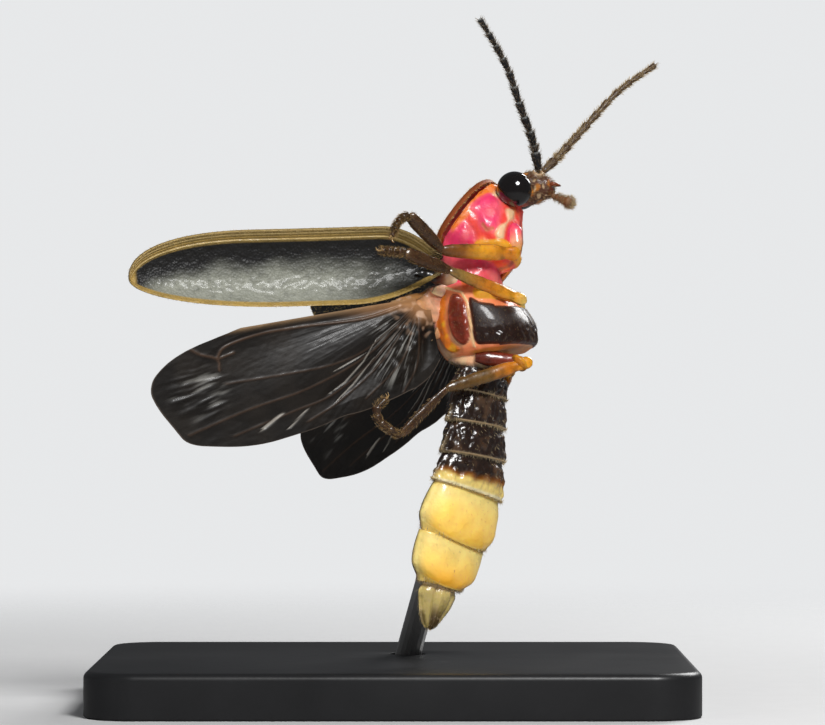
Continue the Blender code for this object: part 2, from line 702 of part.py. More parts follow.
def make_stand(surfaces):
    """A flat base and one leaning rod that ends just under the back of the abdomen."""
    rings = [
        base_outline(0.0, 0.0),
        base_outline(0.0, BASE_THICKNESS - BASE_CHAMFER),
        base_outline(BASE_CHAMFER, BASE_THICKNESS),
    ]
    base = mesh_object("stand_base", *loft(rings), surfaces["base"], sharp=30)
    foot = Vector((*ROD_FOOT, BASE_THICKNESS))
    along = (ROD_TARGET - foot).normalized()
    seat = foot - along * ROD_SEAT_DEPTH
    bore = ROD_DIAMETER + 2 * JOINT_GAP
    hole_path = [seat - along * JOINT_GAP, foot + along * ROD_DIAMETER]
    hole = mesh_object("hole", *loft(tube(hole_path, [bore] * 2, sides=16)), surfaces["rod"])
    boolean(base, hole, "DIFFERENCE")
    rings = tube([seat, foot + along], [ROD_DIAMETER] * 2, sides=16)
    touch, outward = where_rod_meets(bpy.data.objects["abdomen_5"], seat, along)
    end = touch + outward * ROD_END_GAP
    rings[1] = [point + along * ((end - point).dot(outward) / along.dot(outward)) for point in rings[0]]
    mesh_object("stand_rod", *loft(rings), surfaces["rod"])


def where_rod_meets(body, start, along):
    """The point where the rod's line would enter the body, and the body's outward direction there."""
    bpy.context.view_layer.update()
    tree = BVHTree.FromObject(body, bpy.context.evaluated_depsgraph_get())
    to_body = body.matrix_world.inverted()
    point, normal = tree.ray_cast(to_body @ start, to_body.to_3x3() @ along)[:2]
    return body.matrix_world @ point, (body.matrix_world.to_3x3() @ normal).normalized()


def make_surfaces():
    return {
        "sternum": material("sternum_brown", (0.055, 0.022, 0.018), 0.25),
        "flesh": material("flesh_orange", (0.85, 0.38, 0.22), 0.45),
        "pink": material("flesh_pink", (0.90, 0.12, 0.16), 0.4),
        "pronotum": material("pronotum_orange", (0.80, 0.30, 0.10), 0.35),
        "face": material("face_brown", (0.36, 0.16, 0.06), 0.4),
        "eye": material("eye_black", (0.006, 0.006, 0.008), 0.08),
        "feeler": material("feeler_brown", (0.10, 0.075, 0.05), 0.5),
        "orange": material("leg_orange", (0.70, 0.36, 0.05), 0.3),
        "hip": material("hip_red_brown", (0.22, 0.04, 0.02), 0.3),
        "shin": material("shin_brown", (0.12, 0.06, 0.035), 0.4),
        "abdomen": material("sternite_brown", (0.07, 0.05, 0.035), 0.3),
        "tip": material("tip_olive", (0.20, 0.17, 0.10), 0.35),
        "lantern": material("lantern_yellow", (0.95, 0.72, 0.28), 0.45),
        "elytron": material("elytron_black", (0.045, 0.045, 0.045), 0.35),
        "membrane": material("membrane_smoke", (0.16, 0.14, 0.12), 0.4),
        "base": material("base_black", (0.03, 0.03, 0.03), 0.4),
        "rod": material("rod_steel", (0.55, 0.55, 0.56), 0.3, 1.0),
    }


def main():
    clear_scene()
    surfaces = make_surfaces()
    thorax = axes_empty("thorax_axes", turned(THORAX_TILT, THORAX_TWIST), THORAX_CENTRE)
    pose = turned(PROTHORAX_TILT, PROTHORAX_TWIST)
    prothorax = axes_empty("prothorax_axes", pose, THORAX_CENTRE + PROTHORAX_FROM_THORAX)
    nod = turned(HEAD_TILT, HEAD_TWIST) @ Matrix.Rotation(HEAD_YAW, 4, "X")
    head_place = THORAX_CENTRE + PROTHORAX_FROM_THORAX + pose.to_3x3() @ HEAD_IN_PROTHORAX
    head = axes_empty("head_axes", nod, head_place)
    make_thorax(thorax, surfaces)
    make_prothorax(prothorax, surfaces)
    make_pronotum(prothorax, surfaces)
    make_head(head, surfaces)
    make_antennae(head, surfaces)
    make_palps(head, surfaces)
    make_legs(thorax, prothorax, surfaces)
    make_abdomen(surfaces)
    make_wings(thorax, surfaces)
    make_stand(surfaces)
    for piece in ("head", "eye_right", "eye_left"):
        for housing in ("pronotum", "prothorax"):
            carve(bpy.data.objects[housing], bpy.data.objects[piece])
    carve(bpy.data.objects["elytron_left"], bpy.data.objects["pronotum"])
    for side in ("right", "left"):
        for housing, pair in HIP_SOCKETS:
            carve(bpy.data.objects[housing], bpy.data.objects[f"{pair}leg_{side}_coxa"])
        for pair in ("fore", "mid", "hind"):
            leg = f"{pair}leg_{side}"
            carve(bpy.data.objects[f"{leg}_coxa"], bpy.data.objects[f"{leg}_femur"])


main()
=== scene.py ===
# %% [markdown]
# # A firefly in flight, life size
#
# The solids of this model hold its pose and its sizes. This script dresses them: one skin over the
# thorax, one over the abdomen, thin wings with their veins, jointed feelers and legs, and fine hairs.
# Every cell adds one piece or one finish, so the file can be read and tried from top to bottom.

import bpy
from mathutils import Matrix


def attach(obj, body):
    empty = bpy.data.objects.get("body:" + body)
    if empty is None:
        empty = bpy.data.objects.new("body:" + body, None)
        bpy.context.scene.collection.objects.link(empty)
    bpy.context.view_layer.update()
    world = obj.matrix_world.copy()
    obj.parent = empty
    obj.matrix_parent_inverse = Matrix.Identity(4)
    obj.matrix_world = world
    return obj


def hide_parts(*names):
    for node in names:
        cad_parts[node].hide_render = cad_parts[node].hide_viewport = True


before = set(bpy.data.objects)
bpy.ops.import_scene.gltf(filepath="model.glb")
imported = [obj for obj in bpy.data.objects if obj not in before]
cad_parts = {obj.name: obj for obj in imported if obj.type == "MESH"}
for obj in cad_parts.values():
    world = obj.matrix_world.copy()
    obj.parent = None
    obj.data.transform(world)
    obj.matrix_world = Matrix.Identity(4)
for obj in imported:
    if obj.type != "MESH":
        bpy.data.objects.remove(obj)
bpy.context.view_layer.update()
print("solids loaded:", len(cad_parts), "nodes")

# %% [markdown]
# ## Axes of the body
#
# A beetle bends at its waist, its neck and between its segments, so a place is easiest to give in the
# axes of its own region: how far towards the belly, to the insect's right and forward to the head.
# These few angles are the pose. The same values place the solids, so skin and solid agree.

# %% Regions of the body
import math

import bmesh
import bpy
import numpy as np
from mathutils import Matrix, Vector, noise

MM = 0.001
TAIL_TOWARDS_VIEWER = math.radians(7)
THORAX_CENTRE = np.array((2.7, -2.6, 11.7))


def turned(tilt, twist):
    """Axes leaned by tilt in the plane of the picture, with the belly twisted towards the viewer."""
    lean = Matrix.Rotation(-TAIL_TOWARDS_VIEWER, 3, "X") @ Matrix.Rotation(math.radians(tilt), 3, "Y")
    return np.array(lean @ Matrix.Rotation(-math.radians(twist), 3, "Z"))


class Region:
    """The axes of one part of the body. Lengths are in millimetres."""

    def __init__(self, rotation, place):
        self.rotation = rotation
        self.place = place

    def at(self, belly, right, forward):
        """World place of points given as distances to the belly, to the right and forward."""
        own = np.stack(np.broadcast_arrays(belly, np.negative(right), forward), -1)
        return own @ self.rotation.T + self.place

    def seen_from(self, points):
        """Belly, right and forward distances of world points."""
        own = (points - self.place) @ self.rotation
        return own[..., 0], -own[..., 1], own[..., 2]


thorax = Region(turned(-8, 22), THORAX_CENTRE)
prothorax = Region(turned(38, 20), THORAX_CENTRE + (-0.03, 0.3, 2.8))
head_yaw = np.array(Matrix.Rotation(math.radians(9), 3, "X"))
head = Region(turned(80, -4) @ head_yaw, prothorax.place + prothorax.rotation @ (0.14, 0.0, 1.78))
print("head at", head.place.round(2), "mm")

# %% [markdown]
# ## Surfaces as grids
#
# Skins, wings and legs are all grids of points: rows along the part and columns across or around it.
# Working on whole grids keeps the script short and quick, and every point knows where it lies, which
# is what the colours need. The helpers smooth rows between drawn rings, find the way out of a surface,
# list its faces, and turn a grid into a mesh with its colours.


# %% Grid helpers
def smooth_rows(rings, steps):
    """Rows that pass through every ring, on curves that don't overshoot between them."""
    rings = np.asarray(rings, float)
    rise = np.diff(rings, axis=0)
    before, after = rise[:-1], rise[1:]
    same_way = before * after > 0
    slope = np.concatenate([
        rise[:1],
        np.where(same_way, 2 * before * after / np.where(same_way, before + after, 1), 0),
        rise[-1:],
    ])
    rows = []
    for i in range(len(rise)):
        for t in np.arange(steps) / steps:
            rows.append(
                rings[i] * (2 * t**3 - 3 * t**2 + 1)
                + slope[i] * (t**3 - 2 * t**2 + t)
                + rings[i + 1] * (3 * t**2 - 2 * t**3)
                + slope[i + 1] * (t**3 - t**2)
            )
    return np.array([*rows, rings[-1]])


def outward(points, closed=True):
    """Unit normals of a grid. On a closed grid they point away from the middle of each row."""
    if closed:
        across = np.roll(points, -1, 1) - np.roll(points, 1, 1)
    else:
        across = np.gradient(points, axis=1)
    normals = np.cross(across, np.gradient(points, axis=0))
    normals /= np.maximum(np.linalg.norm(normals, axis=-1, keepdims=True), 1e-12)
    if closed and (normals * (points - points.mean(1, keepdims=True))).sum() < 0:
        normals = -normals
    return normals


def closed_faces(rows, columns):
    """Quads of a grid that closes round, and a fan at each end."""
    low = (np.arange(rows - 1)[:, None] * columns + np.arange(columns)).ravel()
    turn = (np.arange(rows - 1)[:, None] * columns + (np.arange(columns) + 1) % columns).ravel()
    quads = np.stack([low, turn, turn + columns, low + columns], -1)
    ring = np.arange(columns)
    step = (ring + 1) % columns
    first, last = rows * columns, rows * columns + 1
    start = np.stack([step, ring, np.full(columns, first)], -1)
    end_ring = (rows - 1) * columns
    end = np.stack([end_ring + ring, end_ring + step, np.full(columns, last)], -1)
    return [*quads.tolist(), *start.tolist(), *end.tolist()]


def finish_mesh(name, vertices, faces, attributes, material, sharp=60):
    """A mesh object from places in millimetres, with its faces outward and its named attributes."""
    mesh = bpy.data.meshes.new(name)
    mesh.from_pydata((np.asarray(vertices) * MM).tolist(), [], faces)
    for key, values in attributes.items():
        values = np.asarray(values, np.float32)
        if values.ndim == 2:
            layer = mesh.attributes.new(key, "FLOAT_COLOR", "POINT")
            rgba = np.concatenate([values, np.ones((len(values), 1), np.float32)], 1)
            layer.data.foreach_set("color", rgba.ravel())
        else:
            layer = mesh.attributes.new(key, "FLOAT", "POINT")
            layer.data.foreach_set("value", values)
    working = bmesh.new()
    working.from_mesh(mesh)
    bmesh.ops.recalc_face_normals(working, faces=working.faces)
    working.to_mesh(mesh)
    working.free()
    mesh.shade_smooth()
    mesh.set_sharp_from_angle(angle=math.radians(sharp))
    mesh.materials.append(material)
    made = bpy.data.objects.new(name, mesh)
    bpy.context.collection.objects.link(made)
    return made


def tube_mesh(name, points, attributes, material, sharp=60):
    """A closed skin from a grid that closes round. Attributes are grids of the same rows and columns."""
    rows, columns = points.shape[:2]
    vertices = np.concatenate([points.reshape(-1, 3), points[[0, -1]].mean(1)])
    flat = {}
    for key, values in attributes.items():
        values = np.asarray(values, float)
        body = values.reshape(rows * columns, *values.shape[2:])
        flat[key] = np.concatenate([body, values[[0, -1]].mean(1)])
    return finish_mesh(name, vertices, closed_faces(rows, columns), flat, material, sharp)


def piece(obj, nodes):
    """obj rides on the one body of the model and stands for the solids named."""
    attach(obj, "root")
    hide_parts(*nodes)
    triangles = sum(len(face.vertices) - 2 for face in obj.data.polygons)
    print(f"{obj.name}: {triangles} triangles")


# %% [markdown]
# ## Colours that know the anatomy
#
# An insect's colours follow its plates, joints and membranes, not straight lines in space. Each skin
# therefore carries a painted colour and a gloss value at every point, worked out from the shapes of
# the plates. Soft edges come from one easing function, plates from outlines, and veins and sutures
# from their distance to a line.


# %% Painting helpers
def ease(low, high, value):
    """0 below low, 1 above high, and smooth between them."""
    t = np.clip((value - low) / (high - low), 0, 1)
    return t * t * (3 - 2 * t)


def blend(under, over, mask):
    """One colour over another where the mask is 1."""
    return under + (np.asarray(over) - under) * np.asarray(mask)[..., None]


def near_line(x, y, line):
    """Distance of points to a line drawn through corners."""
    nearest = np.full(np.broadcast(x, y).shape, np.inf)
    for (ax, ay), (bx, by) in zip(line, line[1:]):
        dx, dy = bx - ax, by - ay
        t = np.clip(((x - ax) * dx + (y - ay) * dy) / (dx * dx + dy * dy), 0, 1)
        nearest = np.minimum(nearest, np.hypot(x - ax - t * dx, y - ay - t * dy))
    return nearest


def curve_point(a, b, c, d, t):
    """The point at share t of the smooth curve from b to c, with a before it and d after it."""
    return 0.5 * (2 * b + (c - a) * t + (2 * a - 5 * b + 4 * c - d) * t**2 + (3 * b - a - 3 * c + d) * t**3)


def rounded(corners, steps=6):
    """A closed outline through the corners with its turns rounded."""
    ring = [np.array(corner, float) for corner in corners]
    count = len(ring)
    outline = []
    for i in range(count):
        near = [ring[(i + k) % count] for k in (-1, 0, 1, 2)]
        outline += [curve_point(*near, t) for t in np.arange(steps) / steps]
    return outline


def within(x, y, outline):
    """Depth of points inside a closed outline, negative outside it."""
    closed = [*outline, outline[0]]
    inside = np.zeros(np.broadcast(x, y).shape, bool)
    for (ax, ay), (bx, by) in zip(closed, closed[1:]):
        crosses = (ay > y) != (by > y)
        inside ^= crosses & (x < ax + (y - ay) / (by - ay if by != ay else 1e-9) * (bx - ax))
    return np.where(inside, 1, -1) * near_line(x, y, closed)


def lumps(points, size, seed=0.0):
    """Smooth noise from -1 to 1 whose lumps are about size millimetres across."""
    flat = (points.reshape(-1, 3) / size + seed).tolist()
    return np.array([noise.noise(p) for p in flat]).reshape(points.shape[:-1])


AMBER = np.array((0.64, 0.200, 0.010))
AMBER_DEEP = np.array((0.34, 0.070, 0.006))
HONEY = np.array((0.84, 0.37, 0.018))
CREAM = np.array((0.90, 0.64, 0.36))
PEACH = np.array((0.92, 0.33, 0.13))
PINK = np.array((0.95, 0.040, 0.165))
ROSE = np.array((0.97, 0.140, 0.165))
RED_BROWN = np.array((0.100, 0.014, 0.006))
DARK_BROWN = np.array((0.016, 0.0075, 0.0045))
SHELL_BLACK = np.array((0.009, 0.0085, 0.0085))
STRAW = np.array((0.72, 0.47, 0.12))
OLIVE = np.array((0.62, 0.480, 0.160))
SMOKE = np.array((0.050, 0.036, 0.026))
LANTERN = np.array((1.00, 0.540, 0.030))
LANTERN_PALE = np.array((1.00, 0.770, 0.250))
print("pink", PINK, "lantern", LANTERN)

# %% [markdown]
# ## What cuticle looks like
#
# Beetle cuticle is a hard varnished skin: glossy, slightly uneven, with tiny pits and wrinkles and a
# colour that is never quite flat. All hard parts share this character at different strengths, so it is
# built once as two shader groups, one for the relief and one for the mottled colour, and each material
# places them with its own values. The shader itself stays in the material.


# %% Shader groups
def place_node(tree, kind, settings=None, **inputs):
    """Adds a node. Inputs are values, or sockets to link from; i0, i1 and so on go by number."""
    made = tree.nodes.new(kind)
    for key, value in (settings or {}).items():
        setattr(made, key, value)
    for key, value in inputs.items():
        by_number = key[0] == "i" and key[1:].isdigit()
        socket = made.inputs[int(key[1:]) if by_number else key.replace("_", " ")]
        if isinstance(value, bpy.types.NodeSocket):
            tree.links.new(value, socket)
        else:
            socket.default_value = value
    return made


def make_group(name, inputs, outputs):
    """An empty shader group with named sockets; returns it with its input and output nodes."""
    group = bpy.data.node_groups.new(name, "ShaderNodeTree")
    for label, kind, value in inputs:
        made = group.interface.new_socket(label, in_out="INPUT", socket_type=kind)
        made.default_value = value
    for label, kind in outputs:
        group.interface.new_socket(label, in_out="OUTPUT", socket_type=kind)
    return group, group.nodes.new("NodeGroupInput"), group.nodes.new("NodeGroupOutput")


def maths(tree, operation, a, b=0.0, c=0.0, clamp=False):
    """The result of a Math node."""
    settings = {"operation": operation, "use_clamp": clamp}
    return place_node(tree, "ShaderNodeMath", settings, i0=a, i1=b, i2=c).outputs[0]


grain, given, put = make_group(
    "cuticle_relief",
    [("Pit size", "NodeSocketFloat", 12000.0), ("Pits", "NodeSocketFloat", 0.5),
     ("Wrinkle size", "NodeSocketFloat", 4000.0), ("Wrinkles", "NodeSocketFloat", 0.5)],
    [("Height", "NodeSocketFloat"), ("Hollows", "NodeSocketFloat")],
)
where = place_node(grain, "ShaderNodeTexCoord").outputs["Object"]
pits = place_node(
    grain, "ShaderNodeTexVoronoi", {"feature": "F1"}, Vector=where, Scale=given.outputs["Pit size"]
)
pit_height = maths(grain, "MULTIPLY", pits.outputs["Distance"], given.outputs["Pits"])
wrinkles = place_node(
    grain, "ShaderNodeTexNoise", Vector=where, Scale=given.outputs["Wrinkle size"], Detail=4.0, Distortion=0.6
)
wrinkle_height = maths(grain, "MULTIPLY", wrinkles.outputs["Fac"], given.outputs["Wrinkles"])
grain.links.new(maths(grain, "ADD", pit_height, wrinkle_height), put.inputs["Height"])
grain.links.new(maths(grain, "SUBTRACT", 1.0, pits.outputs["Distance"], clamp=True), put.inputs["Hollows"])

mottle, given, put = make_group(
    "mottled_colour",
    [("Colour", "NodeSocketColor", (0.5, 0.5, 0.5, 1)), ("Size", "NodeSocketFloat", 2500.0),
     ("Amount", "NodeSocketFloat", 0.3)],
    [("Colour", "NodeSocketColor"), ("Cloud", "NodeSocketFloat")],
)
where = place_node(mottle, "ShaderNodeTexCoord").outputs["Object"]
clouds = place_node(mottle, "ShaderNodeTexNoise", Vector=where, Scale=given.outputs["Size"], Detail=5.0)
centred = maths(mottle, "SUBTRACT", clouds.outputs["Fac"], 0.5)
swing = maths(mottle, "MULTIPLY", centred, given.outputs["Amount"])
bright = maths(mottle, "ADD", maths(mottle, "MULTIPLY", swing, 2.0), 1.0)
shade = place_node(
    mottle, "ShaderNodeVectorMath", {"operation": "SCALE"}, Vector=given.outputs["Colour"], Scale=bright
)
mottle.links.new(shade.outputs["Vector"], put.inputs["Colour"])
mottle.links.new(clouds.outputs["Fac"], put.inputs["Cloud"])


ROUGHNESS_SWING, DULL_ROUGHNESS = 0.16, 0.4
VARNISH_ROUGHNESS = 0.12
LIGHT_WITHIN_COLOUR, LIGHT_WITHIN_DEPTH = (1, 0.4, 0.2), 0.25


def cuticle(name, rough, relief, mottling, depth=0.012, coat=0.0, under=0.0):
    """A material that reads the painted colour and gloss and adds relief and mottling.

    relief is (pit size, pits, wrinkle size, wrinkles), mottling (size, amount), depth the height of the
    relief in millimetres, coat the strength of the varnish and under that of light passing within.
    """
    made = bpy.data.materials.new(name)
    made.use_nodes = True
    tree = made.node_tree
    shader = tree.nodes["Principled BSDF"]
    paint = place_node(tree, "ShaderNodeAttribute", {"attribute_name": "paint"})
    gloss = place_node(tree, "ShaderNodeAttribute", {"attribute_name": "gloss"})
    clouded = place_node(
        tree, "ShaderNodeGroup", {"node_tree": mottle},
        Colour=paint.outputs["Color"], Size=mottling[0], Amount=mottling[1],
    )
    bumps = place_node(
        tree, "ShaderNodeGroup", {"node_tree": grain},
        Pit_size=relief[0], Pits=relief[1], Wrinkle_size=relief[2], Wrinkles=relief[3],
    )
    bump = place_node(
        tree, "ShaderNodeBump", Strength=1.0, Distance=depth * MM, Height=bumps.outputs["Height"]
    )
    lowest = rough - ROUGHNESS_SWING / 2
    unevenness = maths(tree, "MULTIPLY_ADD", clouded.outputs["Cloud"], ROUGHNESS_SWING, lowest)
    dull = maths(tree, "SUBTRACT", 1.0, gloss.outputs["Fac"])
    roughness = maths(tree, "MULTIPLY_ADD", dull, DULL_ROUGHNESS, unevenness, clamp=True)
    tree.links.new(clouded.outputs["Colour"], shader.inputs["Base Color"])
    tree.links.new(roughness, shader.inputs["Roughness"])
    tree.links.new(bump.outputs["Normal"], shader.inputs["Normal"])
    shader.inputs["Coat Weight"].default_value = coat
    shader.inputs["Coat Roughness"].default_value = VARNISH_ROUGHNESS
    shader.inputs["Subsurface Weight"].default_value = under
    shader.inputs["Subsurface Radius"].default_value = LIGHT_WITHIN_COLOUR
    shader.inputs["Subsurface Scale"].default_value = LIGHT_WITHIN_DEPTH * MM
    return made


flesh_and_plates = cuticle(
    "flesh_and_plates", 0.30, (14000, 0.35, 5200, 0.6), (2600, 0.35), 0.014, 0.35, 0.22
)
print("groups:", [group.name for group in bpy.data.node_groups])

# %% [markdown]
# ## Thorax
#
# In flight the thorax is a deep box of muscle. Hard dark plates cover its belly and sides, and between
# them shows soft cream, orange and pink membrane. It could be built plate by plate, but a live beetle
# has no gaps, so one skin runs from the waist to the neck. The rings below give its cross-sections, and
# the plates are raised and painted into the same skin.


# %% Rings of the thorax
def ring_of(region, half_width, belly, back, forward, lean=0.0, centre=0.0, columns=240, power=2.3):
    """One cross-section: an oval whose belly and back have their own depth."""
    angle = 2 * np.pi * np.arange(columns) / columns
    along, across = np.cos(angle), np.sin(angle)
    depth = np.where(along > 0, belly, back)
    x = centre + depth * np.sign(along) * np.abs(along) ** (2 / power)
    y = half_width * np.sign(across) * np.abs(across) ** (2 / power)
    return region.at(x, y, forward + lean * x)


PRONOTUM_REAR, PRONOTUM_FRONT, PRONOTUM_LENGTH = -1.22, 1.52, 2.74


def pronotum_half_width(forward):
    """Half the width of the pronotum's outline: nearly straight sides and a rounded front."""
    widest, full = -0.55, 1.66
    behind = full - 0.34 * (np.minimum(forward - widest, 0) / (widest - PRONOTUM_REAR)) ** 2
    share = np.clip((forward - widest) / (PRONOTUM_FRONT - widest), 0, 1)
    return np.where(forward < widest, behind, full * np.sqrt(1 - share**2.2))


def pronotum_rim(forward):
    """How far the shield's rim lies to the belly side, at a place along it."""
    return -0.20 - 0.27 * np.clip((forward - PRONOTUM_REAR) / PRONOTUM_LENGTH, 0, 1) ** 1.5


def flared_ring(half_width, belly, back, forward, lean, centre):
    """A ring of the prothorax whose sides spread out to line the underside of the shield."""
    ring = ring_of(prothorax, half_width, belly, back, forward, lean, centre)
    x, right, along = prothorax.seen_from(ring)
    angle = 2 * np.pi * np.arange(len(ring)) / len(ring)
    turn = np.minimum(angle, 2 * np.pi - angle)
    flare = ease(1.25, 2.2, turn) * (1 - ease(2.5, 3.1, turn))
    reach = pronotum_half_width(along) * 0.90
    right = right + (np.sign(right) * np.maximum(reach, np.abs(right)) - right) * flare
    x = x + (np.minimum(x, pronotum_rim(along) + 0.03) - x) * ease(1.4, 2.2, turn)
    return prothorax.at(x, right, along)


FRONT_LEAN = -0.42
ROWS_BETWEEN_RINGS = 17
thorax_rings = [
    ring_of(thorax, 0.80, 0.42, 0.70, -1.34, -0.28),
    ring_of(thorax, 1.02, 0.56, 0.98, -1.06, -0.10),
    ring_of(thorax, 1.30, 1.20, 1.16, -0.95),
    ring_of(thorax, 1.46, 1.50, 1.28, -0.76),
    ring_of(thorax, 1.58, 1.52, 1.42, -0.30),
    ring_of(thorax, 1.60, 1.32, 1.44, 0.20),
    ring_of(thorax, 1.54, 1.06, 1.40, 0.60),
    ring_of(thorax, 1.42, 0.90, 1.28, 1.02, FRONT_LEAN * 0.25),
    ring_of(thorax, 1.20, 0.74, 1.06, 1.32, FRONT_LEAN * 0.7),
    flared_ring(0.80, 0.66, 0.60, -1.16, 0.42, 0.60),
    flared_ring(0.98, 0.78, 0.64, -0.62, 0.21, 0.62),
    flared_ring(1.08, 0.84, 0.66, 0.00, 0.00, 0.62),
    flared_ring(1.00, 0.76, 0.66, 0.56, -0.22, 0.56),
    flared_ring(0.82, 0.60, 0.58, 1.04, -0.38, 0.46),
    flared_ring(0.58, 0.44, 0.48, 1.36, -0.50, 0.40),
    ring_of(prothorax, 0.40, 0.30, 0.34, 1.62, -0.50, 0.34),
]
thorax_grid = smooth_rows(thorax_rings, ROWS_BETWEEN_RINGS)
print("thorax grid", thorax_grid.shape)

# %% [markdown]
# The plates of the thorax are outlines drawn on its side view, in millimetres towards the belly and
# forward. Both sides share them, because a beetle is symmetrical. The hind breast plate is large, dark
# and glossy. Beyond its seam, towards the back, lies an oval plate, and beyond that a honey-coloured one.

# %% Plates and membranes of the thorax
EPISTERNUM = rounded([(-0.30, 0.86), (-0.06, 0.84), (0.14, 0.52), (0.175, 0.0), (0.13, -0.50), (-0.12, -0.70),
                      (-0.40, -0.46), (-0.48, 0.10), (-0.43, 0.60)])
EPIMERON = rounded([(-0.56, 1.04), (-0.50, 0.62), (-0.58, 0.10), (-0.50, -0.48), (-0.24, -0.80),
                    (-0.62, -0.84), (-0.94, -0.40), (-1.02, 0.30), (-0.90, 0.90)])
BREAST = rounded([(0.26, 0.68), (0.60, 0.50), (1.10, 0.34), (1.90, 0.20), (1.95, -0.88), (1.10, -0.84),
                  (0.60, -0.80), (0.26, -0.68), (0.27, 0.0)])
MID_HIP = rounded([(0.40, 0.98), (0.80, 0.98), (1.10, 0.78), (1.20, 0.52), (0.80, 0.54), (0.42, 0.66)])
MID_HIP_STRIPE = [(0.0, 1.36), (0.16, 1.04)]
SEAM = [(-0.70, 1.20), (-0.30, 1.04), (0.04, 0.90), (0.20, 0.56), (0.225, 0.1), (0.205, -0.5), (0.20, -0.80)]
HINGE_STRIP = [(-0.80, 1.12), (-0.98, 0.74), (-0.92, 0.34), (-0.99, -0.05)]

belly, right, forward = thorax.seen_from(thorax_grid)
p_belly, p_right, p_forward = prothorax.seen_from(thorax_grid)
row_share = np.linspace(0, 1, len(thorax_grid))[:, None] + 0 * belly
front_part = ease(0.53, 0.60, row_share)
flank = ease(0.5, 0.9, np.abs(right))

oval = within(belly, forward, EPISTERNUM)
honey = within(belly, forward, EPIMERON)
breast = within(belly, forward, BREAST)
breast = np.where(belly > 0.9, np.minimum(forward + 0.87, 0.34 - forward), breast)
seam = near_line(belly, forward, SEAM)
hip = within(belly, forward, MID_HIP) * (1 - front_part)
cream_strip = ease(0.11, 0.05, near_line(belly, forward, HINGE_STRIP))
height = 0.075 * ease(0.0, 0.09, oval) * flank + 0.035 * ease(0.0, 0.08, honey) * flank
height += 0.070 * ease(0.0, 0.10, breast) - 0.04 * ease(0.06, 0.0, np.abs(right)) * ease(0.1, 0.3, breast)
height += 0.035 * ease(0.05, 0.0, seam) * flank
height += 0.05 * cream_strip * flank + 0.17 * ease(0.0, 0.18, hip)
height *= 1 - front_part
height += 0.035 * lumps(thorax_grid, 0.55, 3.1) * (1 - ease(0, 0.1, breast)) * (1 - ease(0, 0.1, oval))
calm_part = ease(0, 0.10, breast) * ease(-0.45, -0.15, forward)
height += (
    0.014 * lumps(thorax_grid, 0.16, 8.4) * (1 - 0.85 * calm_part)
    + 0.020 * front_part * lumps(thorax_grid, 0.30, 4.7)
)
height += 0.055 * lumps(thorax_grid, 0.15, 2.7) * ease(0, 0.08, oval) * flank
height += 0.035 * lumps(thorax_grid, 0.20, 5.7) * ease(0, 0.06, honey) * flank
low_part = ease(0, 0.10, breast) * ease(-0.15, -0.45, forward)
height += 0.045 * lumps(thorax_grid, 0.18, 1.9) * low_part

paint = np.zeros(thorax_grid.shape) + (0.92, 0.26, 0.10)
paint = blend(paint, CREAM, ease(-0.1, 0.5, lumps(thorax_grid, 0.8, 5.0)) * 0.8)
paint = blend(paint, PINK, ease(1.02, 1.30, forward) * 0.85 * (1 - front_part))
paint = blend(paint, AMBER_DEEP, ease(-1.02, -1.22, belly) * 0.9)
paint = blend(paint, (0.80, 0.20, 0.015), ease(-0.02, 0.06, honey) * flank)
paint = blend(paint, HONEY, ease(-0.02, 0.06, honey) * ease(0.0, 0.5, lumps(thorax_grid, 0.24, 5.7)) * flank)
paint = blend(paint, AMBER_DEEP, ease(0.10, 0.02, np.abs(honey)) * flank * 0.35)
paint = blend(paint, RED_BROWN * 2.6, ease(-0.02, 0.02, oval) * flank)
paint = blend(paint, RED_BROWN * 1.3, ease(0.03, 0.22, oval) * flank * 0.8)
paint = blend(paint, RED_BROWN * 0.7, ease(-0.015, 0.02, breast))
paint = blend(paint, DARK_BROWN, ease(0.01, 0.14, breast) * 0.92)
paint = blend(paint, CREAM * (1.0, 0.85, 0.75), ease(0.05, 0.03, seam) * flank)
paint = blend(paint, (0.92, 0.40, 0.30), cream_strip * flank)
paint = blend(paint, HONEY, ease(-0.02, 0.05, hip))
stripe = ease(0.10, 0.05, near_line(belly, forward, MID_HIP_STRIPE)) * flank
paint = blend(paint, (0.85, 0.16, 0.04), stripe)
rear_strip = ease(-0.86, -0.93, forward) * ease(-0.1, 0.15, belly) * (1 - front_part)
paint = blend(paint, AMBER * 0.8, rear_strip * 0.85)
side_shine = np.maximum(ease(0, 0.05, oval), ease(0, 0.05, honey)) * flank
breast_shine = ease(0, 0.05, breast) * (0.10 + 0.90 * low_part)
gloss = 0.35 + 0.65 * np.maximum(side_shine, breast_shine)
print("plates raised by up to", round(float(height.max()), 3), "mm")

# %% [markdown]
# The prothorax is the pink part that makes this beetle so easy to know. Blood shows rose and pink
# through its thin wall, in soft lobes parted by orange seams, with cream where fat lies below.

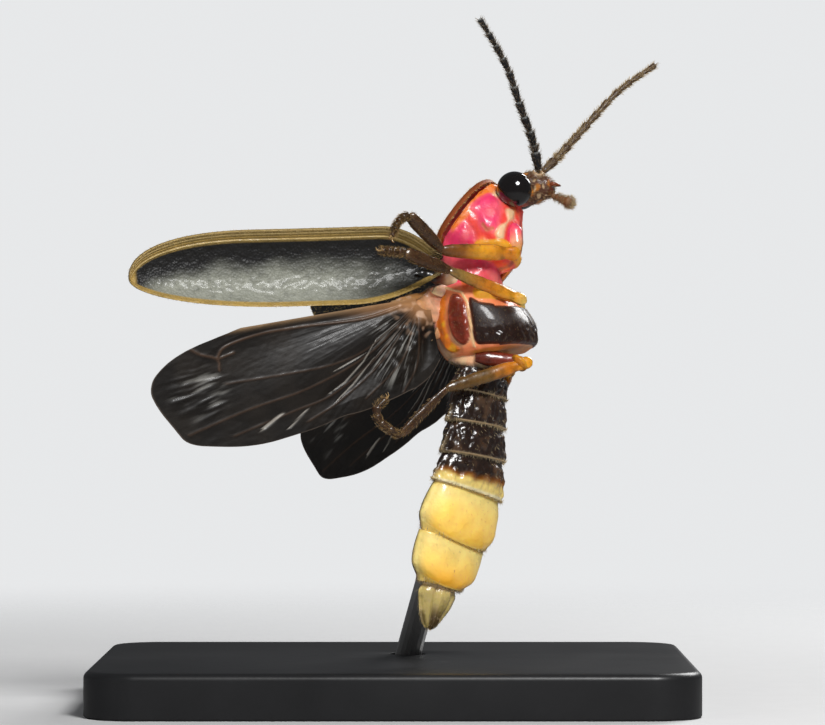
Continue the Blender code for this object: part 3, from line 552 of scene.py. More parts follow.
# %% Pink flesh below the shield
SIDE_LOBE = rounded([(-0.22, 0.24), (-0.26, 0.70), (-0.20, 1.06), (0.10, 1.10), (0.42, 0.90), (0.74, 0.40),
                     (0.78, 0.10), (0.60, -0.02), (0.42, -0.04), (0.10, 0.16)])
REAR_LOBE = rounded([(-0.10, -0.24), (0.12, -0.16), (0.36, -0.26), (0.53, -0.50), (0.46, -0.80),
                     (0.20, -1.12), (-0.06, -1.08)])
CREAM_STRIP = rounded([(0.52, 0.92), (0.60, 1.10), (0.80, 0.90), (0.86, 0.62), (0.98, 0.36), (1.12, 0.14),
                       (1.02, 0.02), (0.86, 0.10), (0.78, 0.36), (0.80, 0.66)])
THROAT = rounded([(0.94, 0.50), (0.88, 0.80), (0.90, 1.30), (1.60, 1.30), (1.50, 0.24), (1.20, 0.18)])
HIP_BAND = rounded([(0.55, -0.42), (0.85, -0.14), (1.22, 0.18), (1.60, 0.10), (1.50, -0.12), (0.68, -0.58)])

lobes = np.maximum(within(p_belly, p_forward, SIDE_LOBE), within(p_belly, p_forward, REAR_LOBE))
strip = within(p_belly, p_forward, CREAM_STRIP)
throat = within(p_belly, p_forward, THROAT)
band = within(p_belly, p_forward, HIP_BAND)
pink_clouds = lumps(thorax_grid, 0.50, 11.0)
flesh = np.zeros(paint.shape) + (0.92, 0.060, 0.040)
orange_clouds = ease(-0.1, 0.5, lumps(thorax_grid, 0.34, 6.0))
flesh = blend(flesh, (0.93, 0.24, 0.05), orange_clouds * ease(0.2, 0.5, p_belly) * 0.7)
flesh = blend(flesh, ROSE, ease(-0.12, 0.10, lobes))
flesh = blend(flesh, PINK, ease(-0.08, 0.20, lobes) * ease(0.55, -0.25, pink_clouds))
flesh = blend(flesh, (0.96, 0.16, 0.20), ease(0.10, 0.26, lobes) * ease(0.1, 0.6, pink_clouds) * 0.6)
fold = near_line(p_belly, p_forward, [(0.43, 0.08), (0.62, 0.02), (0.72, 0.16)])
flesh = blend(flesh, (0.55, 0.20, 0.07), ease(0.09, 0.02, fold) * 0.7)
flesh = blend(flesh, CREAM, ease(-0.04, 0.05, strip) * 0.85)
flesh = blend(flesh, PINK, ease(-0.02, 0.08, throat))
flesh = blend(flesh, RED_BROWN * 2, ease(0.25, 0.0, np.abs(p_right)) * ease(0.6, 0.75, p_belly) * 0.6)
flesh = blend(flesh, HONEY, ease(-0.03, 0.04, band))
flesh = blend(flesh, (0.90, 0.20, 0.015), ease(-0.02, -0.12, p_belly) * (1 - ease(-0.03, 0.05, lobes)))
flesh = blend(flesh, PINK, ease(-0.52, -0.75, p_forward) * 0.85)
flesh = blend(flesh, CREAM * 1.1, np.exp(-(((p_belly + 0.02) / 0.10) ** 2)) * ease(0.98, 1.12, p_forward))
paint = blend(paint, flesh, front_part)
height += front_part * (
    0.07 * ease(0.0, 0.20, lobes) - 0.03 * ease(0.05, 0.0, fold)
    + 0.03 * ease(0.0, 0.06, strip) + 0.04 * ease(0, 0.08, band)
)
gloss = gloss + front_part * 0.35

thorax_surface = thorax_grid + outward(thorax_grid) * height[..., None]
thorax_skin = tube_mesh(
    "thorax_skin", thorax_surface,
    {"paint": np.clip(paint, 0, 1), "gloss": gloss}, flesh_and_plates,
)
piece(thorax_skin, ["metathorax", "mesothorax", "prothorax"])

# %% [markdown]
# ## Abdomen
#
# Seven segments show behind the waist. On the real beetle each one's rear edge lies over the next like
# a roof tile, its sides run out into a thin pale flange, and the last two full segments are the
# lantern. Separate rings would leave gaps, so one skin is drawn through all of them: near each rear
# edge its rows crowd together and step inwards, which makes the overlap.

# %% Rows of the abdomen
# Segment: length, half width in front, half width behind, half depth (mm)
SEGMENTS = [
    (0.74, 1.16, 1.34, 0.88), (0.94, 1.32, 1.42, 0.87), (0.98, 1.36, 1.46, 0.85), (1.02, 1.42, 1.52, 0.82),
    (1.58, 1.50, 1.58, 0.77), (1.42, 1.46, 1.14, 0.68), (1.30, 0.70, 0.20, 0.46),
]
LANTERN_ROUNDING = {4: 0.12, 5: 0.20}
TILTS = (9, 7, 4, 5, 14, 18, 13, 13)
TWISTS = (27, 30, 33, 37, 41, 45, 47, 48)
SEGMENT_ROWS = np.array((0.0, 0.03, 0.07, 0.12, 0.18, 0.25, 0.32, 0.39, 0.46, 0.53, 0.60, 0.67, 0.74, 0.80,
                         0.85, 0.89, 0.92, 0.945, 0.965, 0.98, 0.99, 1.0))
# An oval ring's depth to the belly and to the back, as shares of the segment's
BELLY_SHARE, BACK_SHARE = 0.94, 0.50
STEP_INWARDS = 0.925
ABDOMEN_COLUMNS = 220
girdle = 2 * np.pi * np.arange(ABDOMEN_COLUMNS) / ABDOMEN_COLUMNS
side_turn = np.minimum(girdle, 2 * np.pi - girdle)
flange = np.exp(-(((side_turn - 1.50) / 0.085) ** 2))


def segment_place(number, share, place, length):
    """Axes at a share of a segment's length, turned smoothly from its front to its rear."""
    tilt = TILTS[number] + (TILTS[number + 1] - TILTS[number]) * share
    twist = TWISTS[number] + (TWISTS[number + 1] - TWISTS[number]) * share
    back = turned((TILTS[number] + tilt) / 2, 0) @ (0, 0, -length * share)
    return Region(turned(tilt, twist), place + back)


def segment_size(share, front, rear, depth, last, drawn_in):
    """Half width and half depth of a segment at a share of its length."""
    if last:
        taper = max(1 - (share * 0.985) ** 1.7, 0.0) ** 0.75
        width = front * (0.80 + 0.20 * ease(0, 0.2, share)) * taper + 0.04
        return width, depth * (0.86 + 0.1 * ease(0, 0.2, share)) * taper**0.8 + 0.03
    width = front * 0.93 + (rear - front * 0.93) * share**0.8
    swell = 0.90 + 0.10 * ease(0.0, 0.35, share)
    rounding = 1 - drawn_in * ease(0.60, 1.0, share) ** 2
    return width * rounding, depth * swell * (1 - 0.5 * drawn_in * ease(0.8, 1.0, share))


def abdomen_ring(axes, half, deep, forward):
    """One ring of the abdomen."""
    return ring_of(
        axes, half, deep * BELLY_SHARE, deep * BACK_SHARE, forward, columns=ABDOMEN_COLUMNS, power=2.1
    )


rows, details = [], []
place = THORAX_CENTRE + (-0.10, -0.17, -1.44)
neck = segment_place(0, 0.0, place, SEGMENTS[0][0])
for lead, size in ((0.86, 0.70), (0.70, 0.90), (0.42, 0.99), (0.14, 0.97)):
    ring = ring_of(neck, 1.16 * size, 0.83 * size, 0.92 * size, lead, columns=ABDOMEN_COLUMNS, power=2.1)
    rows.append(ring)
    details.append((-1, 0.0))
for number, (length, front, rear, depth) in enumerate(SEGMENTS):
    last = number == len(SEGMENTS) - 1
    for share in SEGMENT_ROWS:
        axes = segment_place(number, share, place, length)
        half, deep = segment_size(share, front, rear, depth, last, LANTERN_ROUNDING.get(number, 0.0))
        x, y, z = axes.seen_from(abdomen_ring(axes, half, deep, 0.0))
        notch = 0.75 + 0.25 * math.sin(37 * share + number)
        reach = (0.08 + 0.15 * share**1.5 * notch) * (0.4 if number > 3 else 1.0) * ease(0.0, 0.12, share)
        y = y + np.sign(y) * flange * reach
        curve = 0.03 if number < 4 else 0.20 if number < 6 else 0
        z = z + curve * np.minimum(np.abs(y) / half, 1.05) ** 2.6 * share**2
        near_side = y > 0
        rows.append(axes.at(x, y, z))
        details.append((number, share))
    if not last:
        drawn_in = LANTERN_ROUNDING.get(number, 0.0)
        half = rear * STEP_INWARDS * (1 - drawn_in)
        deep = depth * STEP_INWARDS * (1 - 0.5 * drawn_in)
        rows.append(abdomen_ring(segment_place(number, 1.0, place, length), half, deep, 0.02))
        details.append((number, 1.0))
    place = segment_place(number, 1.0, place, length).place
abdomen_grid = np.array(rows)
print("abdomen grid", abdomen_grid.shape)

# %% [markdown]
# The belly plates of the dark segments are lumpy and varnished, almost like wet tar, with a thin pale
# line along each rear edge. The lantern segments are smooth and satin, pale at the edges and orange
# where the light organ is thickest. They also give out a little light in their own colour, which the
# attribute named lit holds: a painted glow that stands in for light falling on and shining through the
# lantern, brightest at the front of each segment and on the near side. The last segment is pale olive
# with brown marks.

# %% Colours and relief of the abdomen
which = np.array([number for number, share in details])[:, None] + 0 * girdle
share = np.array([share for number, share in details])[:, None] + 0 * girdle
turn = side_turn[None, :] + 0 * which
belly_side = 1 - ease(1.36, 1.52, turn)
dark = which < 4
lantern = (which == 4) | (which == 5)
tip = which == 6
coarse = lumps(abdomen_grid, 0.42, 2.0)
fine = lumps(abdomen_grid, 0.17, 7.0)
middle_of = ease(0.02, 0.2, share) * (1 - ease(0.86, 0.97, share))
dent = np.exp(-(((turn - 0.72) / 0.11) ** 2)) * np.exp(-(((share - 0.55) / 0.28) ** 2))
grit = lumps(abdomen_grid, 0.075, 4.0)
height = np.where(dark, (0.040 * coarse + 0.056 * fine + 0.016 * grit) * middle_of - 0.05 * dent, 0.0)
height = np.where(lantern, 0.018 * coarse * middle_of + 0.06 * np.sin(np.pi * share) ** 0.6, height)
groove = np.exp(-(((turn - 0.5) / 0.12) ** 2))
height = np.where(tip, 0.030 * coarse + 0.05 * ease(0.35, 0.2, turn) - 0.05 * groove, height)
height -= 0.02 * ease(0.955, 0.99, share) * dark

paint = np.zeros(abdomen_grid.shape) + DARK_BROWN * 1.3
# Lighter brown on the crests of the lumps: partly the plates' own mottled colour, partly a painted sheen
# where the lumps catch the light.
paint = blend(paint, (0.130, 0.070, 0.036), ease(0.1, 0.7, coarse + 0.6 * fine) * 0.55)
edge_line = ease(0.93, 0.965, share) * dark
paint = blend(paint, CREAM * 0.62, edge_line * 0.85 * ease(1.5, 1.0, turn))
cream_band = ease(0.58, 0.74, share + 0.10 * coarse) * (which == 3) * belly_side
paint = blend(paint, AMBER * 0.45, ease(0.44, 0.64, share + 0.12 * coarse) * (which == 3) * belly_side)
paint = blend(paint, (0.88, 0.66, 0.20), cream_band)
paint = blend(paint, (0.90, 0.80, 0.50), cream_band * ease(0.86, 0.96, share))
glow = np.zeros(paint.shape) + LANTERN_PALE
core = ease(0.05, 0.45, share) * ease(1.48, 0.95, turn)
thickest = core * (0.45 + 0.45 * ease(0.2, 1.0, share)) * (0.8 + 0.2 * ease(-0.4, 0.5, coarse))
glow = blend(glow, LANTERN, thickest)
glow = blend(glow, (0.98, 0.38, 0.01), ease(0.35, 1.0, share) * ease(1.2, 0.3, turn) * 0.5 * (which == 5))
glow = blend(glow, (0.92, 0.66, 0.16), ease(0.10, 0.0, share) * 0.8 + ease(0.95, 0.985, share) * 0.5)
paint = np.where(lantern[..., None], glow, paint)
thin = np.zeros(paint.shape) + OLIVE
thin = blend(thin, CREAM * 0.75, ease(0.15, 0.02, share) * 0.8 + ease(0.1, 0.5, fine) * 0.3)
thin = blend(thin, (0.055, 0.026, 0.012), ease(0.30, 0.75, share) * ease(0.75, 0.35, turn) * 0.9)
thin = blend(thin, (0.07, 0.035, 0.015), ease(0.1, 0.45, coarse) * ease(0.2, 0.4, share) * 0.7)
paint = np.where(tip[..., None], thin, paint)
back = ease(1.58, 1.75, turn)
waist = (which == -1) & near_side
waist_skin = blend(np.zeros(paint.shape) + (0.92, 0.50, 0.28), CREAM, ease(-0.2, 0.4, coarse))
paint = blend(paint, waist_skin, waist * ease(0.55, 0.85, turn))
tergite = blend(np.zeros(paint.shape) + DARK_BROWN * 1.5, (0.12, 0.05, 0.03), ease(-0.2, 0.6, coarse) * 0.5)
tergite = blend(tergite, ROSE * 0.5, ease(0.9, 0.99, share) * 0.5)
paint = blend(paint, tergite, back * np.where(tip, 0.6, 1.0) * (which >= 0))
rim = np.exp(-(((turn - 1.50) / 0.060) ** 2)) * ease(0.3, 0.9, share) * np.where(near_side, 0.35, 1.0)
rim = rim * np.where(lantern, 0.5, 1.0)
paint = blend(paint, CREAM * (0.9, 0.95, 0.9), np.clip(rim * np.where(tip, 0.6, 1.0), 0, 1))
gloss = np.where(lantern, 0.55, 0.95) * (1 - 0.4 * np.clip(rim, 0, 1)) * (1 - 0.3 * edge_line)

LANTERN_STRENGTH = 0.30
abdomen_coat = cuticle("abdomen_cuticle", 0.26, (11000, 0.25, 5200, 0.8), (2400, 0.30), 0.022, 0.6, 0.10)
# The lantern's glow is painted light. It stands in for light falling on and shining through the lantern, and
# is brighter at the front of each segment and on the near side.
brighter = 0.6 + 0.6 * ease(0.9, 0.1, share) * ease(0.3, 1.2, np.where(near_side, turn, 0.0))
lit = np.where(lantern[..., None], paint, 0.0) * (core * brighter * (1 - ease(0.90, 0.97, share)))[..., None]
shining = place_node(abdomen_coat.node_tree, "ShaderNodeAttribute", {"attribute_name": "lit"})
abdomen_shader = abdomen_coat.node_tree.nodes["Principled BSDF"]
abdomen_coat.node_tree.links.new(shining.outputs["Color"], abdomen_shader.inputs["Emission Color"])
abdomen_shader.inputs["Emission Strength"].default_value = LANTERN_STRENGTH
abdomen_surface = abdomen_grid + outward(abdomen_grid) * height[..., None]
abdomen_fringe = 0.05 + 2.0 * rim + 0.9 * edge_line + 0.8 * ease(0.93, 0.97, share) + 0.10 * tip
abdomen_skin = tube_mesh(
    "abdomen_skin", abdomen_surface,
    {"paint": np.clip(paint, 0, 1), "gloss": gloss, "lit": lit}, abdomen_coat,
)
abdomen_nodes = ["abdomen_2", "abdomen_3", "abdomen_4", "abdomen_5", "lantern_6", "lantern_7", "abdomen_tip"]
piece(abdomen_skin, abdomen_nodes)

# %% [markdown]
# ## Shield over the head
#
# The pronotum is a thin domed shield with a wide flat margin that lets light through. Above, it is
# rosy with a black spot in the middle and honey-coloured edges; from below only its amber margin shows.
# Two grids, one for each face, make it a closed shell, and its front and sides end in a round bead.


# %% Shells with two faces
def shell_mesh(name, upper, lower, attributes, material, sharp=70):
    """A closed shell from two open grids of equal size. Attributes are given for both, upper first."""
    rows, columns = upper.shape[:2]
    count = rows * columns
    index = np.arange(count).reshape(rows, columns)
    quads = np.stack([index[:-1, :-1], index[:-1, 1:], index[1:, 1:], index[1:, :-1]], -1).reshape(-1, 4)
    edge = np.concatenate([index[0], index[1:, -1], index[-1, -2::-1], index[-2:0:-1, 0]])
    following = np.roll(edge, -1)
    wall = np.stack([edge, edge + count, following + count, following], -1)
    faces = [*quads.tolist(), *(quads[:, ::-1] + count).tolist(), *wall.tolist()]
    vertices = np.concatenate([upper.reshape(-1, 3), lower.reshape(-1, 3)])
    flat = {}
    for key, both in attributes.items():
        flat[key] = np.concatenate([np.asarray(half, float).reshape(count, *half.shape[2:]) for half in both])
    return finish_mesh(name, vertices, faces, flat, material, sharp)


# %% Pronotum
share = np.linspace(0, 1, 110)[:, None]
across = np.sin(np.pi * (np.linspace(0, 1, 121) - 0.5))[None, :]
forward = PRONOTUM_REAR + PRONOTUM_LENGTH * np.sin(share * np.pi / 2) ** 1.1 + 0 * across
share = share + 0 * across
half_width = np.maximum(pronotum_half_width(forward), 0.05)
right = across * half_width
dome = 0.36 * (1 - across**2) ** 0.8 * (1 - 0.55 * share**2)
from_ends = np.minimum(PRONOTUM_FRONT - forward, forward - PRONOTUM_REAR)
from_edge = np.minimum((1 - np.abs(across)) * half_width, from_ends)
margin = ease(0.42, 0.30, from_edge)
thickness = 0.10 + 0.06 * ease(0.10, 0.02, from_edge)
rim = pronotum_rim(forward) - 0.05 * np.abs(across) ** 6
disc_noise = lumps(prothorax.at(0 * right, right, forward), 0.30, 4.0)
relief = 0.020 * disc_noise * (1 - margin) - 0.035 * np.exp(-(((from_edge - 0.38) / 0.06) ** 2))
middle = rim - dome * (1 - margin * 0.35) - 0.17
top = prothorax.at(middle - relief, right, forward)
under = prothorax.at(middle + thickness, right, forward)

shield = np.zeros(top.shape) + (0.80, 0.22, 0.16)
shield = blend(shield, ROSE, ease(-0.3, 0.4, disc_noise) * 0.8)
shield = blend(shield, CREAM * 0.9, np.exp(-((right / 0.10) ** 2)) * 0.4)
spot = np.hypot(right / 0.52, (forward + 0.02) / 0.66) + 0.16 * disc_noise
shield = blend(shield, SHELL_BLACK * 1.2, ease(1.10, 0.92, spot))
shield = blend(shield, HONEY * (1.0, 0.85, 0.8), margin)
shield = blend(shield, RED_BROWN * 1.5, ease(0.10, 0.04, from_edge) * 0.9)
below = np.zeros(top.shape) + AMBER
below = blend(below, HONEY, ease(-0.3, 0.5, disc_noise) * 0.8)
below = blend(below, ROSE, ease(0.26, 0.36, from_edge) * 0.9)
below = blend(below, RED_BROWN * 2.5, ease(0.09, 0.03, from_edge) * 0.8)
shield_gloss = 0.62 + 0 * right
shield_faces, shield_fringe = (top, under), ease(0.16, 0.0, from_edge)
pronotum_coat = cuticle("pronotum_cuticle", 0.30, (16000, 0.8, 4200, 0.5), (2600, 0.25), 0.012, 0.3, 0.30)
pronotum_shield = shell_mesh(
    "pronotum_shield", top, under,
    {"paint": (np.clip(shield, 0, 1), np.clip(below, 0, 1)), "gloss": (shield_gloss, shield_gloss)},
    pronotum_coat,
)
piece(pronotum_shield, ["pronotum"])

# %% [markdown]
# ## Head and eyes
#
# A male firefly's head is nearly all eye: two black globes that almost meet below, with a small amber
# face between them. Each globe is built of thousands of six-sided lenses, too fine to see one by one,
# which give its black gloss a faint grain. The capsule is a short loft through ten rings, with a raised
# ring round each feeler's socket and a groove down its middle.

# %% Head capsule
# Half width, depth to the belly, depth to the back, place forward (mm)
HEAD_RINGS = [
    (0.24, 0.26, 0.20, -0.62), (0.50, 0.46, 0.40, -0.46), (0.70, 0.52, 0.46, -0.12), (0.74, 0.50, 0.48, 0.18),
    (0.58, 0.50, 0.50, 0.44), (0.44, 0.44, 0.46, 0.66), (0.40, 0.42, 0.34, 0.80), (0.32, 0.40, 0.22, 0.93),
    (0.22, 0.32, 0.14, 1.02), (0.10, 0.18, 0.04, 1.06),
]
head_grid = smooth_rows([ring_of(head, *sizes, columns=120) for sizes in HEAD_RINGS], 9)
belly, right, forward = head.seen_from(head_grid)
socket_right = np.hypot(np.hypot(belly + 0.48, np.abs(right) - 0.27), forward - 0.70)
height = 0.06 * np.exp(-(((socket_right - 0.17) / 0.05) ** 2)) - 0.05 * ease(0.14, 0.06, socket_right)
height += 0.03 * lumps(head_grid, 0.22, 1.0) + 0.012 * lumps(head_grid, 0.08, 5.0)
height -= 0.05 * np.exp(-((right / 0.05) ** 2)) * ease(0.3, 0.1, belly + 0.4) * ease(0.1, 0.4, forward)
face = np.zeros(head_grid.shape) + (0.085, 0.028, 0.010)
face = blend(face, (0.62, 0.20, 0.015), ease(0.05, 0.45, lumps(head_grid, 0.26, 9.0)) * 0.85)
face = blend(face, CREAM * 0.8, ease(0.35, 0.6, lumps(head_grid, 0.15, 3.0)) * ease(0.0, 0.3, forward) * 0.7)
face = blend(face, (0.50, 0.085, 0.045), ease(0.30, -0.10, forward) * ease(0.0, 0.3, belly))
face = blend(face, CREAM * 0.8, np.exp(-(((socket_right - 0.17) / 0.06) ** 2)) * 0.6)
face = blend(face, RED_BROWN, ease(0.90, 1.0, forward))
face = blend(face, DARK_BROWN * 2, ease(0.14, 0.08, socket_right))
head_coat = cuticle("head_cuticle", 0.34, (15000, 0.5, 6000, 0.7), (3200, 0.4), 0.010, 0.2, 0.15)
head_capsule = tube_mesh(
    "head_capsule", head_grid + outward(head_grid) * height[..., None],
    {"paint": np.clip(face, 0, 1), "gloss": 0.6 + 0 * right}, head_coat,
)
piece(head_capsule, ["head"])

# %% Compound eyes
EYE_RADIUS, EYE_FLATNESS = 0.54, 0.9
EYE_ASIDE, EYE_FORWARD = 0.74, -0.08
eye_glass = bpy.data.materials.new("compound_eye")
eye_glass.use_nodes = True
eye_tree = eye_glass.node_tree
eye_shader = eye_tree.nodes["Principled BSDF"]
eye_where = place_node(eye_tree, "ShaderNodeTexCoord").outputs["Object"]
lenses = place_node(
    eye_tree, "ShaderNodeTexVoronoi", {"feature": "SMOOTH_F1"},
    Vector=eye_where, Scale=32000.0, Smoothness=0.2,
)
eye_bump = place_node(
    eye_tree, "ShaderNodeBump", {"invert": True},
    Strength=0.35, Distance=0.004 * MM, Height=lenses.outputs["Distance"],
)
eye_ramp = place_node(
    eye_tree, "ShaderNodeMix", {"data_type": "RGBA"}, i0=lenses.outputs["Distance"],
    i6=(0.0035, 0.0032, 0.004, 1), i7=(0.010, 0.007, 0.006, 1),
)
eye_tree.links.new(eye_ramp.outputs[2], eye_shader.inputs["Base Color"])
eye_tree.links.new(eye_bump.outputs["Normal"], eye_shader.inputs["Normal"])
eye_shader.inputs["Roughness"].default_value = 0.10
eye_shader.inputs["Coat Weight"].default_value = 1.0
eye_shader.inputs["Coat Roughness"].default_value = 0.03

for name, side in (("right", 1), ("left", -1)):
    polar = np.linspace(0.02, np.pi - 0.02, 49)[:, None]
    round_it = 2 * np.pi * np.arange(96)[None, :] / 96
    globe = head.at(
        EYE_RADIUS * np.sin(polar) * np.cos(round_it),
        side * EYE_ASIDE + EYE_RADIUS * EYE_FLATNESS * np.cos(polar) + 0 * round_it,
        EYE_FORWARD + EYE_RADIUS * np.sin(polar) * np.sin(round_it),
    )
    eye = tube_mesh(f"compound_eye_{name}", globe, {}, eye_glass)
    piece(eye, [f"eye_{name}"])

# %% [markdown]
# ## Feelers
#
# A feeler is a string of eleven joints: a stout first one, a tiny second one, then nine that each widen
# towards the far end. That is a thing repeated along a path, so Geometry Nodes build it. The joint is
# modelled once; the tree walks along the curve and sets a joint at each station, turned along the way and
# shrinking towards the tip. A pale ring shows where one joint plugs into the next: pale skin there, and
# on the near feeler, where it is pale grey, partly a painted glint. The far feeler is painted a lighter
# brown with paler golden hairs, a painted sheen of light on its hairs.


# %% Joints along a path, by Geometry Nodes
def smooth_path(corners, steps):
    """Points of a curve through the corners."""
    corners = [np.asarray(corner, float) for corner in corners]
    ends = [2 * corners[0] - corners[1], *corners, 2 * corners[-1] - corners[-2]]
    points = []
    for near in zip(ends, ends[1:], ends[2:], ends[3:]):
        points += [curve_point(*near, t) for t in np.arange(steps) / steps]
    return np.array([*points, corners[-1]])


def joint_mesh(name, profile, material, base_colour, tip_colour, columns=24):
    """One joint of unit length along Z. profile lists (share of length, radius, share of the tip colour)."""
    rings, colours = [], []
    for share, radius, tint in profile:
        turn = 2 * np.pi * np.arange(columns) / columns
        flat = np.stack([radius * np.cos(turn), radius * 0.86 * np.sin(turn), share + 0 * turn], -1)
        rings.append(flat)
        colours.append(np.asarray(base_colour) * (1 - tint) + np.asarray(tip_colour) * tint)
    grid = np.array(rings)
    tints = np.repeat(np.array(colours)[:, None, :], columns, 1)
    made = tube_mesh(name, grid / MM, {"paint": tints, "gloss": 0.55 + 0 * tints[..., 0]}, material)
    bpy.context.collection.objects.unlink(made)
    return made


def joint_tree(name, material):
    """A tree that sets a joint at each point of a line, with its length and thickness from the point."""
    tree = bpy.data.node_groups.new(name, "GeometryNodeTree")
    tree.interface.new_socket("Geometry", in_out="INPUT", socket_type="NodeSocketGeometry")
    tree.interface.new_socket("Joint", in_out="INPUT", socket_type="NodeSocketObject")
    tree.interface.new_socket("Thickness", in_out="INPUT", socket_type="NodeSocketFloat")
    tree.interface.new_socket("Geometry", in_out="OUTPUT", socket_type="NodeSocketGeometry")
    given, put = tree.nodes.new("NodeGroupInput"), tree.nodes.new("NodeGroupOutput")
    along = place_node(tree, "GeometryNodeInputNamedAttribute", {"data_type": "FLOAT_VECTOR"}, Name="along")
    size = place_node(tree, "GeometryNodeInputNamedAttribute", {"data_type": "FLOAT"}, Name="thickness")
    length = place_node(tree, "ShaderNodeVectorMath", {"operation": "LENGTH"}, i0=along.outputs[0])
    turn = place_node(tree, "FunctionNodeAlignRotationToVector", {"axis": "Z"}, Vector=along.outputs[0])
    wide = maths(tree, "MULTIPLY", size.outputs[0], given.outputs["Thickness"])
    scale = place_node(tree, "ShaderNodeCombineXYZ", X=wide, Y=wide, Z=length.outputs["Value"])
    joint = place_node(
        tree, "GeometryNodeObjectInfo", {"transform_space": "ORIGINAL"}, Object=given.outputs["Joint"]
    )
    put_on = place_node(
        tree, "GeometryNodeInstanceOnPoints", Points=given.outputs["Geometry"],
        Instance=joint.outputs["Geometry"], Rotation=turn.outputs["Rotation"], Scale=scale.outputs["Vector"],
    )
    real = place_node(tree, "GeometryNodeRealizeInstances", Geometry=put_on.outputs["Instances"])
    dressed = place_node(
        tree, "GeometryNodeSetMaterial", Geometry=real.outputs["Geometry"], Material=material
    )
    tree.links.new(dressed.outputs["Geometry"], put.inputs["Geometry"])
    return tree


def run_tree(name, carrier, tree, inputs):
    """Runs a tree on a carrier mesh and keeps the result as a plain mesh object."""
    modifier = carrier.modifiers.new("build", "NODES")
    modifier.node_group = tree
    for socket in tree.interface.items_tree:
        if socket.item_type == "SOCKET" and socket.in_out == "INPUT" and socket.name in inputs:
            modifier[socket.identifier] = inputs[socket.name]
    mesh = bpy.data.meshes.new_from_object(carrier.evaluated_get(bpy.context.evaluated_depsgraph_get()))
    bpy.data.objects.remove(carrier)
    mesh.name = name
    made = bpy.data.objects.new(name, mesh)
    bpy.context.collection.objects.link(made)
    return made


def stations(name, points, lengths, thicknesses):
    """A carrier mesh of single points, each with the way to its far end and its thickness."""
    mesh = bpy.data.meshes.new(name)
    mesh.from_pydata((points * MM).tolist(), [], [])
    mesh.attributes.new("along", "FLOAT_VECTOR", "POINT").data.foreach_set("vector", (lengths * MM).ravel())
    mesh.attributes.new("thickness", "FLOAT", "POINT").data.foreach_set("value", thicknesses)
    made = bpy.data.objects.new(name, mesh)
    bpy.context.collection.objects.link(made)
    return made


def split_path(path, shares):
    """Cuts a path into stretches of the given shares; returns their starts and ends."""
    steps = np.linalg.norm(np.diff(path, axis=0), axis=1)
    run = np.concatenate([[0], np.cumsum(steps)]) / steps.sum()
    marks = np.concatenate([[0], np.cumsum(shares)]) / np.sum(shares)
    cuts = np.stack([np.interp(marks, run, path[:, axis]) for axis in range(3)], -1)
    return cuts[:-1], cuts[1:]


ANTENNA_JOINTS = [1.15, 0.42, 0.95, 1.0, 1.0, 1.0, 1.0, 0.97, 0.94, 0.9, 1.05]
ROUTES = {
    "right": [(-0.48, 0.26, 0.70), (-1.42, 0.63, 0.71), (-2.43, 1.16, 0.57), (-3.42, 1.62, 0.48),
              (-4.25, 2.10, 0.26), (-5.08, 2.59, -0.02)],
    "left": [(-0.46, -0.28, 0.78), (-0.66, -0.52, 1.04), (-1.17, -1.07, 1.61), (-1.91, -1.75, 2.43),
             (-2.68, -2.34, 3.35), (-3.34, -3.08, 4.55)],
}
# Base and tip colour of each feeler. The near right one's pale grey joint ends are partly a painted glint;
# the far left one's lighter brown is a painted sheen of light on its hairs.
ANTENNA_COLOURS = {
    "right": ((0.008, 0.008, 0.009), (0.34, 0.35, 0.33)),
    "left": ((0.060, 0.030, 0.013), (0.30, 0.20, 0.11)),
}
ANTENNA_THICKNESS, ANTENNA_TAPER = 0.30, 0.040
JOINT_PROFILE = [
    (0.00, 0.18, 1.0), (0.02, 0.28, 0.5), (0.06, 0.34, 0.0), (0.25, 0.37, 0.0), (0.50, 0.43, 0.0),
    (0.75, 0.49, 0.0), (0.88, 0.50, 0.0), (0.94, 0.46, 0.05), (0.98, 0.36, 0.4), (1.00, 0.18, 1.0),
]
antenna_coat = cuticle("antenna_cuticle", 0.30, (20000, 0.9, 9000, 0.6), (5000, 0.4), 0.008, 0.15)
antenna_paths = {}
for name, route in ROUTES.items():
    path = smooth_path([head.at(*corner) for corner in route], 8)
    starts, ends = split_path(path, ANTENNA_JOINTS)
    antenna_paths[name] = (starts, ends)
    fade = 1 - ANTENNA_TAPER * np.arange(len(starts))
    fade[1] *= 0.92
    carrier = stations(f"antenna_points_{name}", starts, ends - starts, fade)
    joint = joint_mesh(f"antenna_joint_{name}", JOINT_PROFILE, antenna_coat, *ANTENNA_COLOURS[name])
    tree = joint_tree(f"joints_along_{name}", antenna_coat)
    feeler = run_tree(f"feeler_{name}", carrier, tree, {"Joint": joint, "Thickness": ANTENNA_THICKNESS * MM})
    piece(feeler, [f"antenna_{name}"])

# %% [markdown]
# ## Mouth
#
# Two pairs of jointed palps hang from the mouth and are the first thing that a beetle tastes with. The
# outer pair ends in a broad joint. The jaws are two thin sickles between them.


